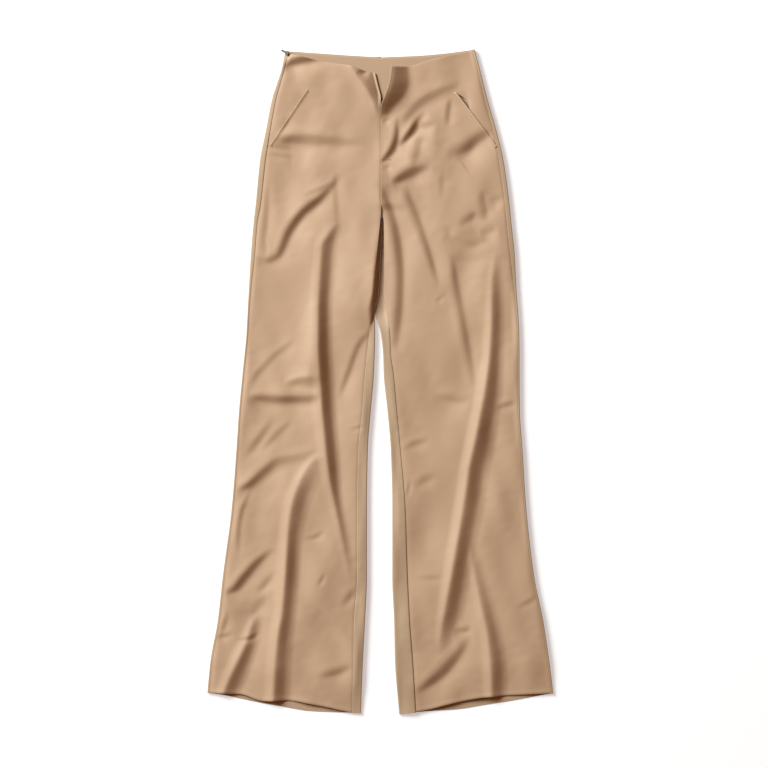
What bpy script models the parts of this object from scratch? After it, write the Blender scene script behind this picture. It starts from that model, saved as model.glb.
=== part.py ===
"""Palazzo trousers laid flat, front side up, waist towards +Y.

Two front panels lie on two back panels. Each back panel is a trough: it rests on the floor, rolls up over
both edges of its leg and meets the front panel at the side seam and the inseam. The fly is open at the
top as a V, each hip has a slash pocket, and an invisible zip closes the side seam of the right hip.

Tables and sizes are in millimetres, and MM turns them into metres. "Right" and "left" are the wearer's:
the right leg lies on the -X side. z = 0 is the surface that the trousers rest on.
"""

import math
from collections import namedtuple

import bmesh
import bpy
import numpy as np
from mathutils import Matrix, Vector
from mathutils.bvhtree import BVHTree

MM = 0.001

# Cloth and the way it lies
CLOTH = 1.2  # wall of the doubled crepe
THIN_CLOTH = 0.9  # facings and welts
SEAM_GAP = 0.3
EDGE_HEIGHT = 6.0  # height of the rolled edge of a leg
LAYER_HEIGHT = 9.2  # top of the front panels between their folds
ROLL = 2.6  # half-width of the rolled edge
CLIMB = 22.0  # distance from a rolled edge to the full layer height
CROTCH_ROLL = 3.4  # height of the gusset at the bottom of the crotch wedge
TUCK = 1.8  # how far the gusset's edge lies below the front panel's

# Heights along the garment
WAIST_Y = 548.0
HEM_Y = -548.0
CROTCH_Y = 285.0  # the front panels part here
WEDGE_TOP_Y = 268.0  # the gusset between the thighs begins here
LEGS_PART_Y = 79.0  # below this each leg has a full rolled inner edge
BEND = 90.0  # distance over which rows turn to follow the waist or the hem

PANEL_COLUMNS = 30
UPPER_ROWS = 15
LOWER_ROWS = 31
UPPER_END_Y = 290.0

Section = namedtuple("Section", "y outer side_seam front_edge back_edge")

# Where each leg's edges and seams lie in plan, from the waist down.
RIGHT_SECTIONS = [
    Section(548, -156.0, -149.5, -18.0, 1.8),
    Section(515, -162.5, -157.0, -13.0, 1.8),
    Section(469, -177.5, -170.0, 1.5, 1.8),
    Section(416, -188.0, -180.0, 1.8, 1.8),
    Section(366, -198.0, -188.0, 1.8, 1.8),
    Section(290, -205.5, -196.5, 1.8, 2.0),
    Section(264, -208.5, -201.5, 0.5, 3.4),
    Section(211, -213.0, -206.0, -5.0, 1.0),
    Section(152, -216.5, -212.0, -10.0, -2.0),
    Section(116, -218.5, -215.0, -13.0, -8.5),
    Section(79, -220.5, -217.0, -18.0, -8.0),
    Section(13, -227.0, -223.5, -25.0, -10.0),
    Section(-46, -232.5, -229.0, -29.5, -15.0),
    Section(-112, -237.0, -233.5, -36.0, -20.0),
    Section(-206, -244.5, -241.0, -38.0, -21.5),
    Section(-322, -259.5, -256.0, -38.0, -21.5),
    Section(-393, -267.5, -264.0, -43.0, -24.5),
    Section(-459, -279.5, -276.0, -44.5, -28.0),
    Section(-548, -288.0, -284.5, -46.0, -31.5),
]
LEFT_SECTIONS = [
    Section(548, 156.0, 151.5, 20.0, 1.8),
    Section(515, 165.0, 160.5, 18.0, 1.8),
    Section(469, 176.5, 171.5, 3.5, 1.8),
    Section(416, 191.5, 185.5, 1.8, 1.8),
    Section(366, 203.5, 195.5, 1.8, 1.8),
    Section(290, 214.0, 206.0, 1.8, 2.0),
    Section(264, 216.5, 208.5, 6.2, 3.4),
    Section(211, 222.0, 214.5, 6.8, 1.0),
    Section(152, 225.0, 221.0, 6.6, -2.0),
    Section(116, 227.5, 224.0, 11.5, -8.5),
    Section(79, 229.5, 226.0, 16.5, 1.5),
    Section(45, 230.0, 226.5, 18.0, 5.0),
    Section(13, 230.0, 226.5, 22.5, 6.0),
    Section(-46, 230.5, 227.0, 28.0, 12.0),
    Section(-112, 235.0, 231.5, 34.0, 17.5),
    Section(-206, 241.0, 237.5, 42.0, 20.0),
    Section(-322, 254.5, 251.0, 46.0, 20.0),
    Section(-393, 269.0, 265.5, 49.5, 23.0),
    Section(-459, 279.0, 275.5, 54.5, 24.5),
    Section(-548, 290.0, 286.5, 60.0, 31.5),
]

Edge = namedtuple("Edge", "x y")

# The cut edges in plan, each from the right side of the body to the left.
BACK_WAIST = [Edge(-157, 546), Edge(-99, 542), Edge(-41, 538), Edge(2, 536), Edge(62, 538),
              Edge(99, 541), Edge(155, 548)]
RIGHT_FRONT_WAIST = [Edge(-157, 543), Edge(-132, 537), Edge(-102, 530), Edge(-74, 525),
                     Edge(-48, 521), Edge(-29, 515), Edge(-13, 512)]
LEFT_FRONT_WAIST = [Edge(18, 518), Edge(48, 520), Edge(74, 528), Edge(99, 535), Edge(127, 541),
                    Edge(155, 547)]
RIGHT_FRONT_HEM = [Edge(-286, -512), Edge(-230, -515), Edge(-190, -526), Edge(-158, -525),
                   Edge(-104, -533), Edge(-44, -546)]
RIGHT_BACK_HEM = [Edge(-286, -512), Edge(-260, -516), Edge(-203, -528), Edge(-158, -536),
                  Edge(-115, -543), Edge(-31, -546)]
LEFT_FRONT_HEM = [Edge(31, -548), Edge(81, -540), Edge(107, -533), Edge(138, -526),
                  Edge(171, -520), Edge(226, -516), Edge(287, -513)]
LEFT_BACK_HEM = [Edge(31, -548), Edge(79, -543), Edge(127, -540), Edge(171, -533),
                 Edge(216, -526), Edge(259, -518), Edge(287, -513)]

# A fold is a ridge. Its path runs along the middle of its steep flank, which lies to the left of the
# direction of travel. The other flank is "gentle" mm wide.
Fold = namedtuple("Fold", "name height gentle steep path")

RIGHT_FOLDS = [
    Fold("thigh_main", 11, 40, 11,
         [(-68, 290), (-91, 198), (-97, 135), (-88, 13), (-79, -129), (-64, -229), (-44, -350)]),
    Fold("shin_main", 12, 34, 12,
         [(-96, -105), (-128, -180), (-142, -252), (-150, -322), (-165, -417), (-173, -600)]),
    Fold("outer_hem", 7, 26, 12, [(-196, -370), (-216, -432), (-228, -465), (-262, -580)]),
    Fold("hip_hook", 7, 24, 13, [(-71, 351), (-79, 325), (-115, 295), (-142, 261), (-198, 203)]),
    Fold("knee_bar", 5, 26, 10, [(-112, -33), (-161, -36), (-212, -28)]),
    Fold("inner_thigh", 4, 16, 8, [(-16, 84), (-38, 58), (-54, 13), (-68, -28)]),
    Fold("knee_slant", 6, 22, 10, [(-160, -122), (-194, -162), (-236, -188)]),
    Fold("shin_slant", 6, 22, 10, [(-170, -262), (-203, -299), (-224, -328), (-250, -350)]),
    Fold("pocket_line", 3, 20, 9, [(-4, 388), (-82, 394), (-168, 399)]),
    Fold("thigh_slant", 3, 16, 9, [(-145, 66), (-178, 36), (-208, 8)]),
    Fold("fly_flap", 5, 24, 22, [(-56, 540), (-25, 495), (2, 455)]),
]
LEFT_FOLDS = [
    Fold("crotch_pull", 6, 18, 9, [(8, 322), (23, 246), (31, 145), (26, 80)]),
    Fold("inner_thigh", 5, 20, 9, [(38, 336), (65, 252), (86, 190), (98, 142)]),
    Fold("mid_thigh", 4, 30, 12, [(120, 205), (135, 102), (145, 35), (148, -28)]),
    Fold("thigh_main", 12, 40, 15,
         [(189, 235), (193, 102), (189, 2), (173, -84), (153, -185), (137, -295), (122, -425)]),
    Fold("hem_slant", 8, 26, 12, [(148, -412), (115, -460), (66, -515)]),
    Fold("outer_hem", 9, 34, 13, [(163, -268), (171, -338), (186, -421), (206, -590)]),
    Fold("upper_drag", 5, 16, 10, [(134, 500), (102, 492), (72, 470), (22, 432)]),
    Fold("middle_drag", 4, 12, 9, [(106, 478), (56, 426), (32, 384)]),
    Fold("crotch_drag", 6, 20, 10, [(70, 408), (59, 378), (38, 348), (16, 326)]),
    Fold("hip_arc", 3, 18, 9, [(190, 252), (152, 226), (100, 252)]),
    Fold("fly_edge", 6, 8, 26, [(31, 530), (22, 490), (15, 470), (8, 425)]),
]

Slit = namedtuple("Slit", "top bottom gape")

# The mouth of each pocket, from its inner top end to the side seam.
RIGHT_SLIT = Slit((-120.5, 482), (-186, 384), 1.4)
LEFT_SLIT = Slit((125.5, 478), (198, 382), 3.6)
WELT_WIDTH = 5.0
WELT_LIFT = 0.45
POCKET_MARGIN = 11.0  # how far the pocket's facing reaches past its mouth

WAIST_FACING_DEPTH = 50.0
FACING_SETBACK = 3.0  # the facing's top edge lies this far below the waist edge
FLY_TURNING = 5.5  # width of the rolled turning along each edge of the fly
RIGHT_FLY_END_Y = 462.0
LEFT_FLY_END_Y = 432.0

# Zip in the right side seam
ZIP_LENGTH = 190.0
ZIP_WIDTH = 3.0
SLIDER_LENGTH = 6.0
SLIDER_WIDTH = 3.6
SLIDER_BODY = 1.2
EAR = 0.9  # thickness of the two ears that hold the pull's pin
PIN_RADIUS = 0.55
PIN_HEIGHT = 3.0  # of the pin's axis above the slider's underside
PULL_LENGTH = 13.0
PULL_WIDTH = 3.2
PULL_THICKNESS = 0.9
PULL_EYE_OUTER = 1.5
PULL_EYE_INNER = 0.9
PULL_DROOP = math.radians(6)
SLIDER_AT = (-151.5, 540.3)
PULL_HEADING = math.radians(150)  # in plan, from +X

CLOTH_COLOUR = (0.56, 0.40, 0.25)
FACING_COLOUR = (0.52, 0.37, 0.23)
WELT_COLOUR = (0.60, 0.44, 0.28)
METAL_COLOUR = (0.16, 0.16, 0.17)


def clear_scene():
    for obj in list(bpy.data.objects):
        bpy.data.objects.remove(obj, do_unlink=True)


def make_collection(name):
    collection = bpy.data.collections.new(name)
    bpy.context.scene.collection.children.link(collection)
    return collection


def make_material(name, colour, roughness, metallic=0.0):
    material = bpy.data.materials.new(name)
    material.use_nodes = True
    shader = material.node_tree.nodes["Principled BSDF"]
    shader.inputs["Base Color"].default_value = (*colour, 1.0)
    shader.inputs["Roughness"].default_value = roughness
    shader.inputs["Metallic"].default_value = metallic
    return material


def smooth_step(t):
    t = np.clip(t, 0.0, 1.0)
    return t * t * (3.0 - 2.0 * t)


def smooth_curve(at, knots, values):
    """A cubic through the values that never overshoots: its slope at a knot is the harmonic mean of its
    neighbours' slopes, or 0 at a turning point."""
    knots = np.asarray(knots, float)
    values = np.asarray(values, float)
    rates = np.diff(values) / np.diff(knots)
    product = rates[:-1] * rates[1:]
    total = rates[:-1] + rates[1:]
    inner = np.where(product > 0, 2 * product / np.where(product > 0, total, 1.0), 0.0)
    slopes = np.concatenate([rates[:1], inner, rates[-1:]])
    at = np.clip(at, knots[0], knots[-1])
    i = np.clip(np.searchsorted(knots, at) - 1, 0, len(knots) - 2)
    span = knots[i + 1] - knots[i]
    t = (at - knots[i]) / span
    start = values[i] * (1 + 2 * t) + span * slopes[i] * t
    end = values[i + 1] * (3 - 2 * t) - span * slopes[i + 1] * (1 - t)
    return start * (1 - t) ** 2 + end * t**2


def across(sections, column, y):
    """The x of one column of a leg's sections at each y."""
    rows = sections[::-1]
    return smooth_curve(y, [row.y for row in rows], [getattr(row, column) for row in rows])


def edge_y(edge, x):
    return smooth_curve(x, [p.x for p in edge], [p.y for p in edge])


def fold_rise(x, y, fold):
    """What one fold adds to the cloth's height, tapering to nothing at both ends of its path."""
    knots = np.linspace(0.0, 1.0, len(fold.path))
    along = np.linspace(0.0, 1.0, 49)
    path_x = smooth_curve(along, knots, [p[0] for p in fold.path])
    path_y = smooth_curve(along, knots, [p[1] for p in fold.path])
    step_x = np.gradient(path_x)
    step_y = np.gradient(path_y)
    step = np.hypot(step_x, step_y)
    dx = x[..., None] - path_x
    dy = y[..., None] - path_y
    nearest = np.argmin(dx**2 + dy**2, axis=-1)[..., None]
    dx = np.take_along_axis(dx, nearest, -1)[..., 0]
    dy = np.take_along_axis(dy, nearest, -1)[..., 0]
    nearest = nearest[..., 0]
    unit_x = step_x[nearest] / step[nearest]
    unit_y = step_y[nearest] / step[nearest]
    left = dy * unit_x - dx * unit_y
    travelled = along[nearest] + (dx * unit_x + dy * unit_y) * (along[1] / step[nearest])
    crest = -0.5 * fold.steep
    steep_side = 1 - smooth_step((left - crest) / fold.steep)
    gentle_side = 1 - smooth_step((crest - left) / fold.gentle)
    taper = smooth_step(travelled / 0.22) * smooth_step((1 - travelled) / 0.22)
    return fold.height * taper * np.where(left > crest, steep_side, gentle_side)


def climb(distance):
    """0 at a rolled edge, 1 where the cloth has reached its full height."""
    return 1 - (1 - np.clip(distance / CLIMB, 0.0, 1.0)) ** 2


def top_height(x, y, sections, folds):
    """Height of the garment's upper surface over one leg and its half of the hips."""
    from_outer = climb(np.abs(x - across(sections, "outer", y)))
    from_inner = climb(np.abs(x - across(sections, "back_edge", y)))
    parted = smooth_step((CROTCH_Y - y) / (CROTCH_Y - LEGS_PART_Y))
    lie = from_outer * (1 - parted * (1 - from_inner))
    rise = sum(fold_rise(x, y, fold) for fold in folds)
    return EDGE_HEIGHT + (LAYER_HEIGHT - EDGE_HEIGHT) * lie + rise * lie


def row_heights():
    upper = np.linspace(WAIST_Y, UPPER_END_Y, UPPER_ROWS)
    lower = np.linspace(UPPER_END_Y, HEM_Y, LOWER_ROWS + 1)[1:]
    return np.concatenate([upper, lower])


def bend_row(x, y, waist, hem):
    """Moves the rows near the waist and the hem so that the last ones follow those edges."""
    near_waist = smooth_step((y - (WAIST_Y - BEND)) / BEND)
    near_hem = smooth_step(((HEM_Y + BEND) - y) / BEND)
    return y + near_waist * (edge_y(waist, x) - WAIST_Y) + near_hem * (edge_y(hem, x) - HEM_Y)


def front_grid(sections, folds, waist, hem):
    """Points of a front panel's upper surface, rows from the waist down, columns from the side seam."""
    side = math.copysign(1.0, sections[0].front_edge - sections[0].outer)
    rows, fraction = np.meshgrid(row_heights(), np.linspace(0, 1, PANEL_COLUMNS), indexing="ij")
    y = rows
    for _ in range(4):
        start = across(sections, "side_seam", y) + side * SEAM_GAP / 2
        end = across(sections, "front_edge", y) - side * SEAM_GAP / 2
        x = start + (end - start) * fraction
        y = bend_row(x, rows, waist, hem)
    return np.stack([x, y, top_height(x, y, sections, folds)], axis=-1)


def rolled_edge(edge, inward, half_width, height, angles):
    """Points round a rolled edge: a half ellipse that stands on the floor."""
    turn = np.radians(angles)
    x = edge[..., None] + inward * half_width[..., None] * (1 - np.cos(turn))
    z = 0.5 * height[..., None] * (1 + np.sin(turn))
    return x, z


def back_section(y, sections, folds):
    """x and z of a back panel's points at each y, a column for each point round the leg.

    Each row runs from the side seam over the outer roll, along the floor to the inner roll, and over it
    to the inseam. Above the wedge its cloth ends on the floor, at the seat seam.
    """
    side = math.copysign(1.0, sections[0].front_edge - sections[0].outer)
    outer = across(sections, "outer", y)
    side_seam = across(sections, "side_seam", y) - side * SEAM_GAP / 2
    front_edge = across(sections, "front_edge", y)
    back_edge = across(sections, "back_edge", y) - side * SEAM_GAP / 2
    outer_half = np.minimum(ROLL, 0.7 * np.abs(side_seam - outer))
    outer_height = top_height(outer + side * outer_half, y, sections, folds)
    inner_half = np.minimum(ROLL, 0.45 * np.abs(back_edge - front_edge))
    inner_top = top_height(back_edge - side * inner_half, y, sections, folds)
    parted = smooth_step(1.3 * smooth_step((CROTCH_Y - y) / (CROTCH_Y - LEGS_PART_Y)))
    inner_height = CROTCH_ROLL + (inner_top - CROTCH_ROLL) * parted

    outer_x, outer_z = rolled_edge(outer, side, outer_half, outer_height, [90, 30, -30, -90])
    inner_x, inner_z = rolled_edge(back_edge, -side, inner_half, inner_height, [-90, -30, 30, 90])
    inner_x[:, 0] = np.where(y < WEDGE_TOP_Y, inner_x[:, 0], back_edge)
    floor_x = outer_x[:, -1:] + (inner_x[:, :1] - outer_x[:, -1:]) * np.array([1 / 3, 2 / 3])
    inseam = front_edge + side * SEAM_GAP / 2
    inseam_z = top_height(inseam, y, sections, folds) - TUCK * (1 - parted)
    middle_x = 0.5 * (inner_x[:, -1] + inseam)
    middle_z = inner_height + (inseam_z - inner_height) * 0.4
    side_z = top_height(side_seam, y, sections, folds)
    x = np.column_stack([side_seam, outer_x, floor_x, inner_x, middle_x, inseam])
    z = np.column_stack([side_z, outer_z, 0 * floor_x, inner_z, middle_z, inseam_z])
    return x, z


def back_grid(sections, folds, waist, hem):
    """Points of a back panel's outer surface, and which of its cells are cloth."""
    rows = row_heights()
    columns = back_section(rows, sections, folds)[0].shape[1]
    points = np.empty((len(rows), columns, 3))
    for column in range(columns):
        y = rows
        for _ in range(4):
            x, z = back_section(y, sections, folds)
            y = bend_row(x[:, column], rows, waist, hem)
        points[:, column] = np.column_stack([x[:, column], y, z[:, column]])
    cells = np.ones((len(rows) - 1, columns - 1), bool)
    seat_seam_column = 7
    cells[rows[:-1] > WEDGE_TOP_Y, seat_seam_column:] = False
    return points, cells


def sheet_mesh(name, points, cells=None):
    """An open mesh on a grid of points in mm, whose faces point to +Z where the grid's columns run to +X
    and its rows to -Y."""
    rows, columns = points.shape[:2]
    if cells is None:
        cells = np.ones((rows - 1, columns - 1), bool)
    corner = np.arange(rows * columns).reshape(rows, columns)
    quads = np.stack([corner[:-1, :-1], corner[1:, :-1], corner[1:, 1:], corner[:-1, 1:]], axis=-1)
    quads = quads[cells]
    used, faces = np.unique(quads, return_inverse=True)
    faces = faces.reshape(quads.shape)
    mesh = bpy.data.meshes.new(name)
    mesh.from_pydata((points.reshape(-1, 3)[used] * MM).tolist(), [], faces.tolist())
    return mesh


def add_object(name, mesh, material, collection):
    obj = bpy.data.objects.new(name, mesh)
    mesh.materials.append(material)
    collection.objects.link(obj)
    return obj


def add_sheet(name, points, material, collection, wall=CLOTH, cells=None, face_down=False):
    """A cloth wall: the grid is its outer surface, and the wall grows to the inside of the garment."""
    mesh = sheet_mesh(name, points, cells)
    if face_down:
        mesh.flip_normals()
    obj = add_object(name, mesh, material, collection)
    mesh.shade_smooth()
    solidify = obj.modifiers.new("wall", "SOLIDIFY")
    solidify.thickness = wall * MM
    solidify.offset = -1.0
    return obj


def columns_run_left(points):
    return points[0, -1, 0] < points[0, 0, 0]


def add_panel(name, points, material, collection, cells=None, face_down=False):
    """A panel whose columns start at the side seam, so that on the left leg they run to -X."""
    return add_sheet(name, points, material, collection, cells=cells,
                     face_down=face_down != columns_run_left(points))


def extruded_outline(outline, low, high):
    """A closed prism over a plan outline, in mm, as a bmesh."""
    prism = bmesh.new()
    corners = [prism.verts.new((x * MM, y * MM, low * MM)) for x, y in outline]
    base = prism.faces.new(corners)
    grown = bmesh.ops.extrude_face_region(prism, geom=[base])["geom"]
    top = [item for item in grown if isinstance(item, bmesh.types.BMVert)]
    bmesh.ops.translate(prism, verts=top, vec=(0, 0, (high - low) * MM))
    bmesh.ops.recalc_face_normals(prism, faces=prism.faces)
    return prism


def slit_frame(slit):
    """The slit's start, its direction, the direction to its inner lower side, and its length."""
    start = np.array(slit.top, float)
    run = np.array(slit.bottom, float) - start
    length = float(np.hypot(*run))
    along = run / length
    inner = np.array([-along[1], along[0]])
    if inner[1] > 0:
        inner = -inner
    return start, along, inner, length


def slit_width(slit, fraction):
    """The mouth gapes near its top end and closes to a line at the side seam."""
    gape = slit.gape * np.sin(np.pi * np.clip(fraction, 0, 1)) ** 0.5 * (1 - fraction) ** 0.8
    return np.maximum(gape, 0.0) + 0.7


def cut_slit(panel, slit, cutters):
    start, along, inner, length = slit_frame(slit)
    fractions = np.linspace(0, 1, 9)
    near = [start + along * length * f for f in fractions]
    far = [p - inner * slit_width(slit, f) for p, f in zip(near, fractions)]
    prism = extruded_outline([tuple(p) for p in near + far[::-1]], 2.0, 40.0)
    mesh = bpy.data.meshes.new(panel.name + "_slit")
    prism.to_mesh(mesh)
    prism.free()
    cutter = bpy.data.objects.new(mesh.name, mesh)
    cutter.hide_render = True
    cutter.display_type = "WIRE"
    cutters.objects.link(cutter)
    boolean = panel.modifiers.new("slit", "BOOLEAN")
    boolean.operation = "DIFFERENCE"
    boolean.object = cutter


def surface_finder(panel):
    """A function that gives the height of a panel's outer surface, in mm, at a plan point."""
    tree = BVHTree.FromPolygons([v.co for v in panel.data.vertices],
                                [list(p.vertices) for p in panel.data.polygons])

    def height(x, y):
        hit = tree.ray_cast(Vector((x * MM, y * MM, 1.0)), Vector((0, 0, -1)))
        return hit[0].z / MM if hit[0] else LAYER_HEIGHT

    return height


def add_welt(name, panel, slit, material, collection):
    """The turned lip along the lower side of a pocket's mouth, lying on the panel."""
    start, along, inner, length = slit_frame(slit)
    height = surface_finder(panel)
    offsets = np.linspace(0.3, WELT_WIDTH, 3)
    points = np.empty((19, 3, 3))
    for row, fraction in enumerate(np.linspace(0.0, 0.93, 19)):
        for column, offset in enumerate(offsets):
            x, y = start + along * length * fraction + inner * offset
            points[row, column] = x, y, height(x, y) + WELT_LIFT + THIN_CLOTH
    return add_sheet(name, points, material, collection, wall=THIN_CLOTH,
                     face_down=columns_run_left(points))


def add_pocket_facing(name, sections, folds, slit, material, collection):
    """The side piece that shows through the pocket's mouth, just below the front panel."""
    side = math.copysign(1.0, sections[0].front_edge - sections[0].outer)
    start, along, _, length = slit_frame(slit)
    end = start + along * length * 0.8
    y = np.linspace(start[1] + 8, end[1], 8)
    mouth = start[0] + (y - start[1]) * along[0] / along[1]
    seam = across(sections, "side_seam", y)
    first = mouth - side * POCKET_MARGIN
    first = np.maximum(first, seam + 5) if side > 0 else np.minimum(first, seam - 5)
    last = mouth + side * POCKET_MARGIN
    x = first[:, None] + (last - first)[:, None] * np.linspace(0, 1, 4)
    y = np.broadcast_to(y[:, None], x.shape)
    z = top_height(x, y, sections, folds) - CLOTH - 0.7
    points = np.stack([x, y, z], axis=-1)
    return add_sheet(name, points, material, collection, wall=THIN_CLOTH,
                     face_down=columns_run_left(points))


def add_waist_facing(material, collection):
    """The strip inside the back of the waist, lying on the back panels."""
    x = np.linspace(-150.0, 149.0, 19)
    depth = np.linspace(FACING_SETBACK, WAIST_FACING_DEPTH, 3)
    x, depth = np.meshgrid(x, depth)
    y = edge_y(BACK_WAIST, x) - depth
    z = np.full_like(x, CLOTH + SEAM_GAP + THIN_CLOTH)
    return add_sheet("waist_facing_back", np.stack([x, y, z], axis=-1), material, collection,
                     wall=THIN_CLOTH)


def add_fly_turning(name, grid, end_y, material, collection):
    """The rolled turning along one edge of the open fly, made from the panel's own points, moved out."""
    rows = grid[grid[:, -1, 1] > end_y]
    edge = rows[:, -1]
    neighbour = rows[:, -2]
    unit = (neighbour - edge) / np.linalg.norm(neighbour - edge, axis=1)[:, None]
    strip = np.stack([edge + unit * FLY_TURNING, edge + unit * 0.5 * FLY_TURNING, edge], axis=1)
    strip[:, :, 2] += SEAM_GAP + THIN_CLOTH
    strip[:, 1, 2] += 0.8
    return add_sheet(name, strip, material, collection, wall=THIN_CLOTH,
                     face_down=columns_run_left(strip))


def add_zip_tape(sections, folds, material, collection):
    """The closed zip's teeth and tape, just inside the side seam."""
    y = np.linspace(SLIDER_AT[1] - 8, WAIST_Y - ZIP_LENGTH, 12)
    seam = across(sections, "side_seam", y)
    x = seam[:, None] + np.array([-0.5, 0.5]) * ZIP_WIDTH
    y = np.broadcast_to(y[:, None], x.shape)
    z = top_height(x, y, sections, folds) - CLOTH - 0.6
    return add_sheet("side_zip_tape", np.stack([x, y, z], axis=-1), material, collection,
                     wall=THIN_CLOTH)


def turned_box(size, centre):
    box = bmesh.new()
    bmesh.ops.create_cube(box, size=1.0)
    bmesh.ops.scale(box, vec=[s * MM for s in size], verts=box.verts)
    bmesh.ops.translate(box, vec=[c * MM for c in centre], verts=box.verts)
    return box


def rod(radius, length, sides=12):
    """A cylinder along X."""
    made = bmesh.new()
    bmesh.ops.create_cone(made, cap_ends=True, segments=sides, radius1=radius * MM,
                          radius2=radius * MM, depth=length * MM)
    bmesh.ops.rotate(made, matrix=Matrix.Rotation(math.pi / 2, 3, "Y"), verts=made.verts)
    return made


def object_from(name, shape, collection):
    mesh = bpy.data.meshes.new(name)
    shape.to_mesh(mesh)
    shape.free()
    obj = bpy.data.objects.new(name, mesh)
    collection.objects.link(obj)
    return obj


def helper_from(name, shape, cutters):
    obj = object_from(name, shape, cutters)
    obj.hide_render = True
    obj.display_type = "WIRE"
    return obj


def combine(obj, helper, operation):
    boolean = obj.modifiers.new(operation.lower(), "BOOLEAN")
    boolean.operation = operation
    boolean.object = helper


def add_zip_slider(axis_place, turn, material, collection, cutters):
    """The slider: a flat body with two ears that hold the pull's pin. Its local X is the pin's axis."""
    placed = Matrix.Translation(axis_place) @ turn
    body_z = SLIDER_BODY / 2 - PIN_HEIGHT
    body = turned_box((SLIDER_LENGTH, SLIDER_WIDTH, SLIDER_BODY), (0, 0, body_z))
    slider = object_from("zip_slider", body, collection)
    slider.data.materials.append(material)
    ear_x = (SLIDER_LENGTH - EAR) / 2
    ear_height = PIN_HEIGHT + PIN_RADIUS + 0.5 - 0.4
    ear_z = 0.4 - PIN_HEIGHT + ear_height / 2
    for name, at in (("upper", ear_x - 0.05), ("lower", 0.05 - ear_x)):
        ear = turned_box((EAR, 2.4, ear_height), (at, 0, ear_z))
        combine(slider, helper_from("slider_ear_" + name, ear, cutters), "UNION")
    pin = rod(PIN_RADIUS, SLIDER_LENGTH - EAR)
    combine(slider, helper_from("slider_pin", pin, cutters), "UNION")
    for obj in [slider] + [o for o in cutters.objects if o.name.startswith("slider_")]:
        obj.matrix_world = placed
    return slider


def add_zip_pull(axis_place, turn, material, collection, cutters):
    """The pull tab: an eye that turns on the pin and a flat tongue. Local X is the pin."""
    placed = Matrix.Translation(axis_place) @ turn @ Matrix.Rotation(-PULL_DROOP, 4, "X")
    pull = object_from("zip_pull", rod(PULL_EYE_OUTER, PULL_WIDTH, sides=20), collection)
    pull.data.materials.append(material)
    tongue = turned_box((PULL_WIDTH, PULL_LENGTH - 1.0, PULL_THICKNESS),
                        (0, 1.0 + (PULL_LENGTH - 1.0) / 2, 0))
    bmesh.ops.bevel(tongue, geom=[e for e in tongue.edges if abs(e.verts[0].co.z - e.verts[1].co.z) > 1e-6
                                  and e.verts[0].co.y > 5 * MM],
                    offset=1.1 * MM, segments=3, affect="EDGES")
    combine(pull, helper_from("pull_tongue", tongue, cutters), "UNION")
    combine(pull, helper_from("pull_bore", rod(PULL_EYE_INNER, PULL_WIDTH + 2, sides=20), cutters),
            "DIFFERENCE")
    for obj in [pull] + [o for o in cutters.objects if o.name.startswith("pull_")]:
        obj.matrix_world = placed
    return pull


def add_zip_hardware(collection, cutters, material):
    seat = float(top_height(np.array(SLIDER_AT[0]), np.array(SLIDER_AT[1]), RIGHT_SECTIONS,
                            RIGHT_FOLDS))
    lift = seat + 0.9 + PIN_HEIGHT
    place = Vector((SLIDER_AT[0] * MM, SLIDER_AT[1] * MM, lift * MM))
    turn = Matrix.Rotation(PULL_HEADING - math.pi / 2, 4, "Z")
    add_zip_slider(place, turn, material, collection, cutters)
    add_zip_pull(place, turn, make_material("pull_metal", METAL_COLOUR, 0.35, 0.9), collection,
                 cutters)


def build():
    clear_scene()
    trousers = make_collection("palazzo_trousers")
    cutters = make_collection("cutters")
    cloth = {name: make_material(name, CLOTH_COLOUR, 0.6) for name in
             ("front_right_crepe", "front_left_crepe", "back_right_crepe", "back_left_crepe")}
    facing = make_material("facing_crepe", FACING_COLOUR, 0.65)
    welt = make_material("welt_crepe", WELT_COLOUR, 0.6)
    metal = make_material("slider_metal", METAL_COLOUR, 0.4, 0.9)
    tape = make_material("tape_cloth", METAL_COLOUR, 0.8)

    right_front = front_grid(RIGHT_SECTIONS, RIGHT_FOLDS, RIGHT_FRONT_WAIST, RIGHT_FRONT_HEM)
    left_front = front_grid(LEFT_SECTIONS, LEFT_FOLDS, LEFT_FRONT_WAIST, LEFT_FRONT_HEM)
    right_back, right_cells = back_grid(RIGHT_SECTIONS, RIGHT_FOLDS, BACK_WAIST, RIGHT_BACK_HEM)
    left_back, left_cells = back_grid(LEFT_SECTIONS, LEFT_FOLDS, BACK_WAIST, LEFT_BACK_HEM)

    front_right = add_panel("front_right", right_front, cloth["front_right_crepe"], trousers)
    front_left = add_panel("front_left", left_front, cloth["front_left_crepe"], trousers)
    add_panel("back_right", right_back, cloth["back_right_crepe"], trousers, right_cells,
              face_down=True)
    add_panel("back_left", left_back, cloth["back_left_crepe"], trousers, left_cells,
              face_down=True)

    add_waist_facing(facing, trousers)
    add_fly_turning("fly_turning_right", right_front, RIGHT_FLY_END_Y, facing, trousers)
    add_fly_turning("fly_turning_left", left_front, LEFT_FLY_END_Y, facing, trousers)
    add_welt("pocket_welt_right", front_right, RIGHT_SLIT, welt, trousers)
    add_welt("pocket_welt_left", front_left, LEFT_SLIT, welt, trousers)
    add_pocket_facing("pocket_facing_right", RIGHT_SECTIONS, RIGHT_FOLDS, RIGHT_SLIT, facing, trousers)
    add_pocket_facing("pocket_facing_left", LEFT_SECTIONS, LEFT_FOLDS, LEFT_SLIT, facing, trousers)
    cut_slit(front_right, RIGHT_SLIT, cutters)
    cut_slit(front_left, LEFT_SLIT, cutters)
    add_zip_tape(RIGHT_SECTIONS, RIGHT_FOLDS, tape, trousers)
    add_zip_hardware(trousers, cutters, metal)


build()
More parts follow.
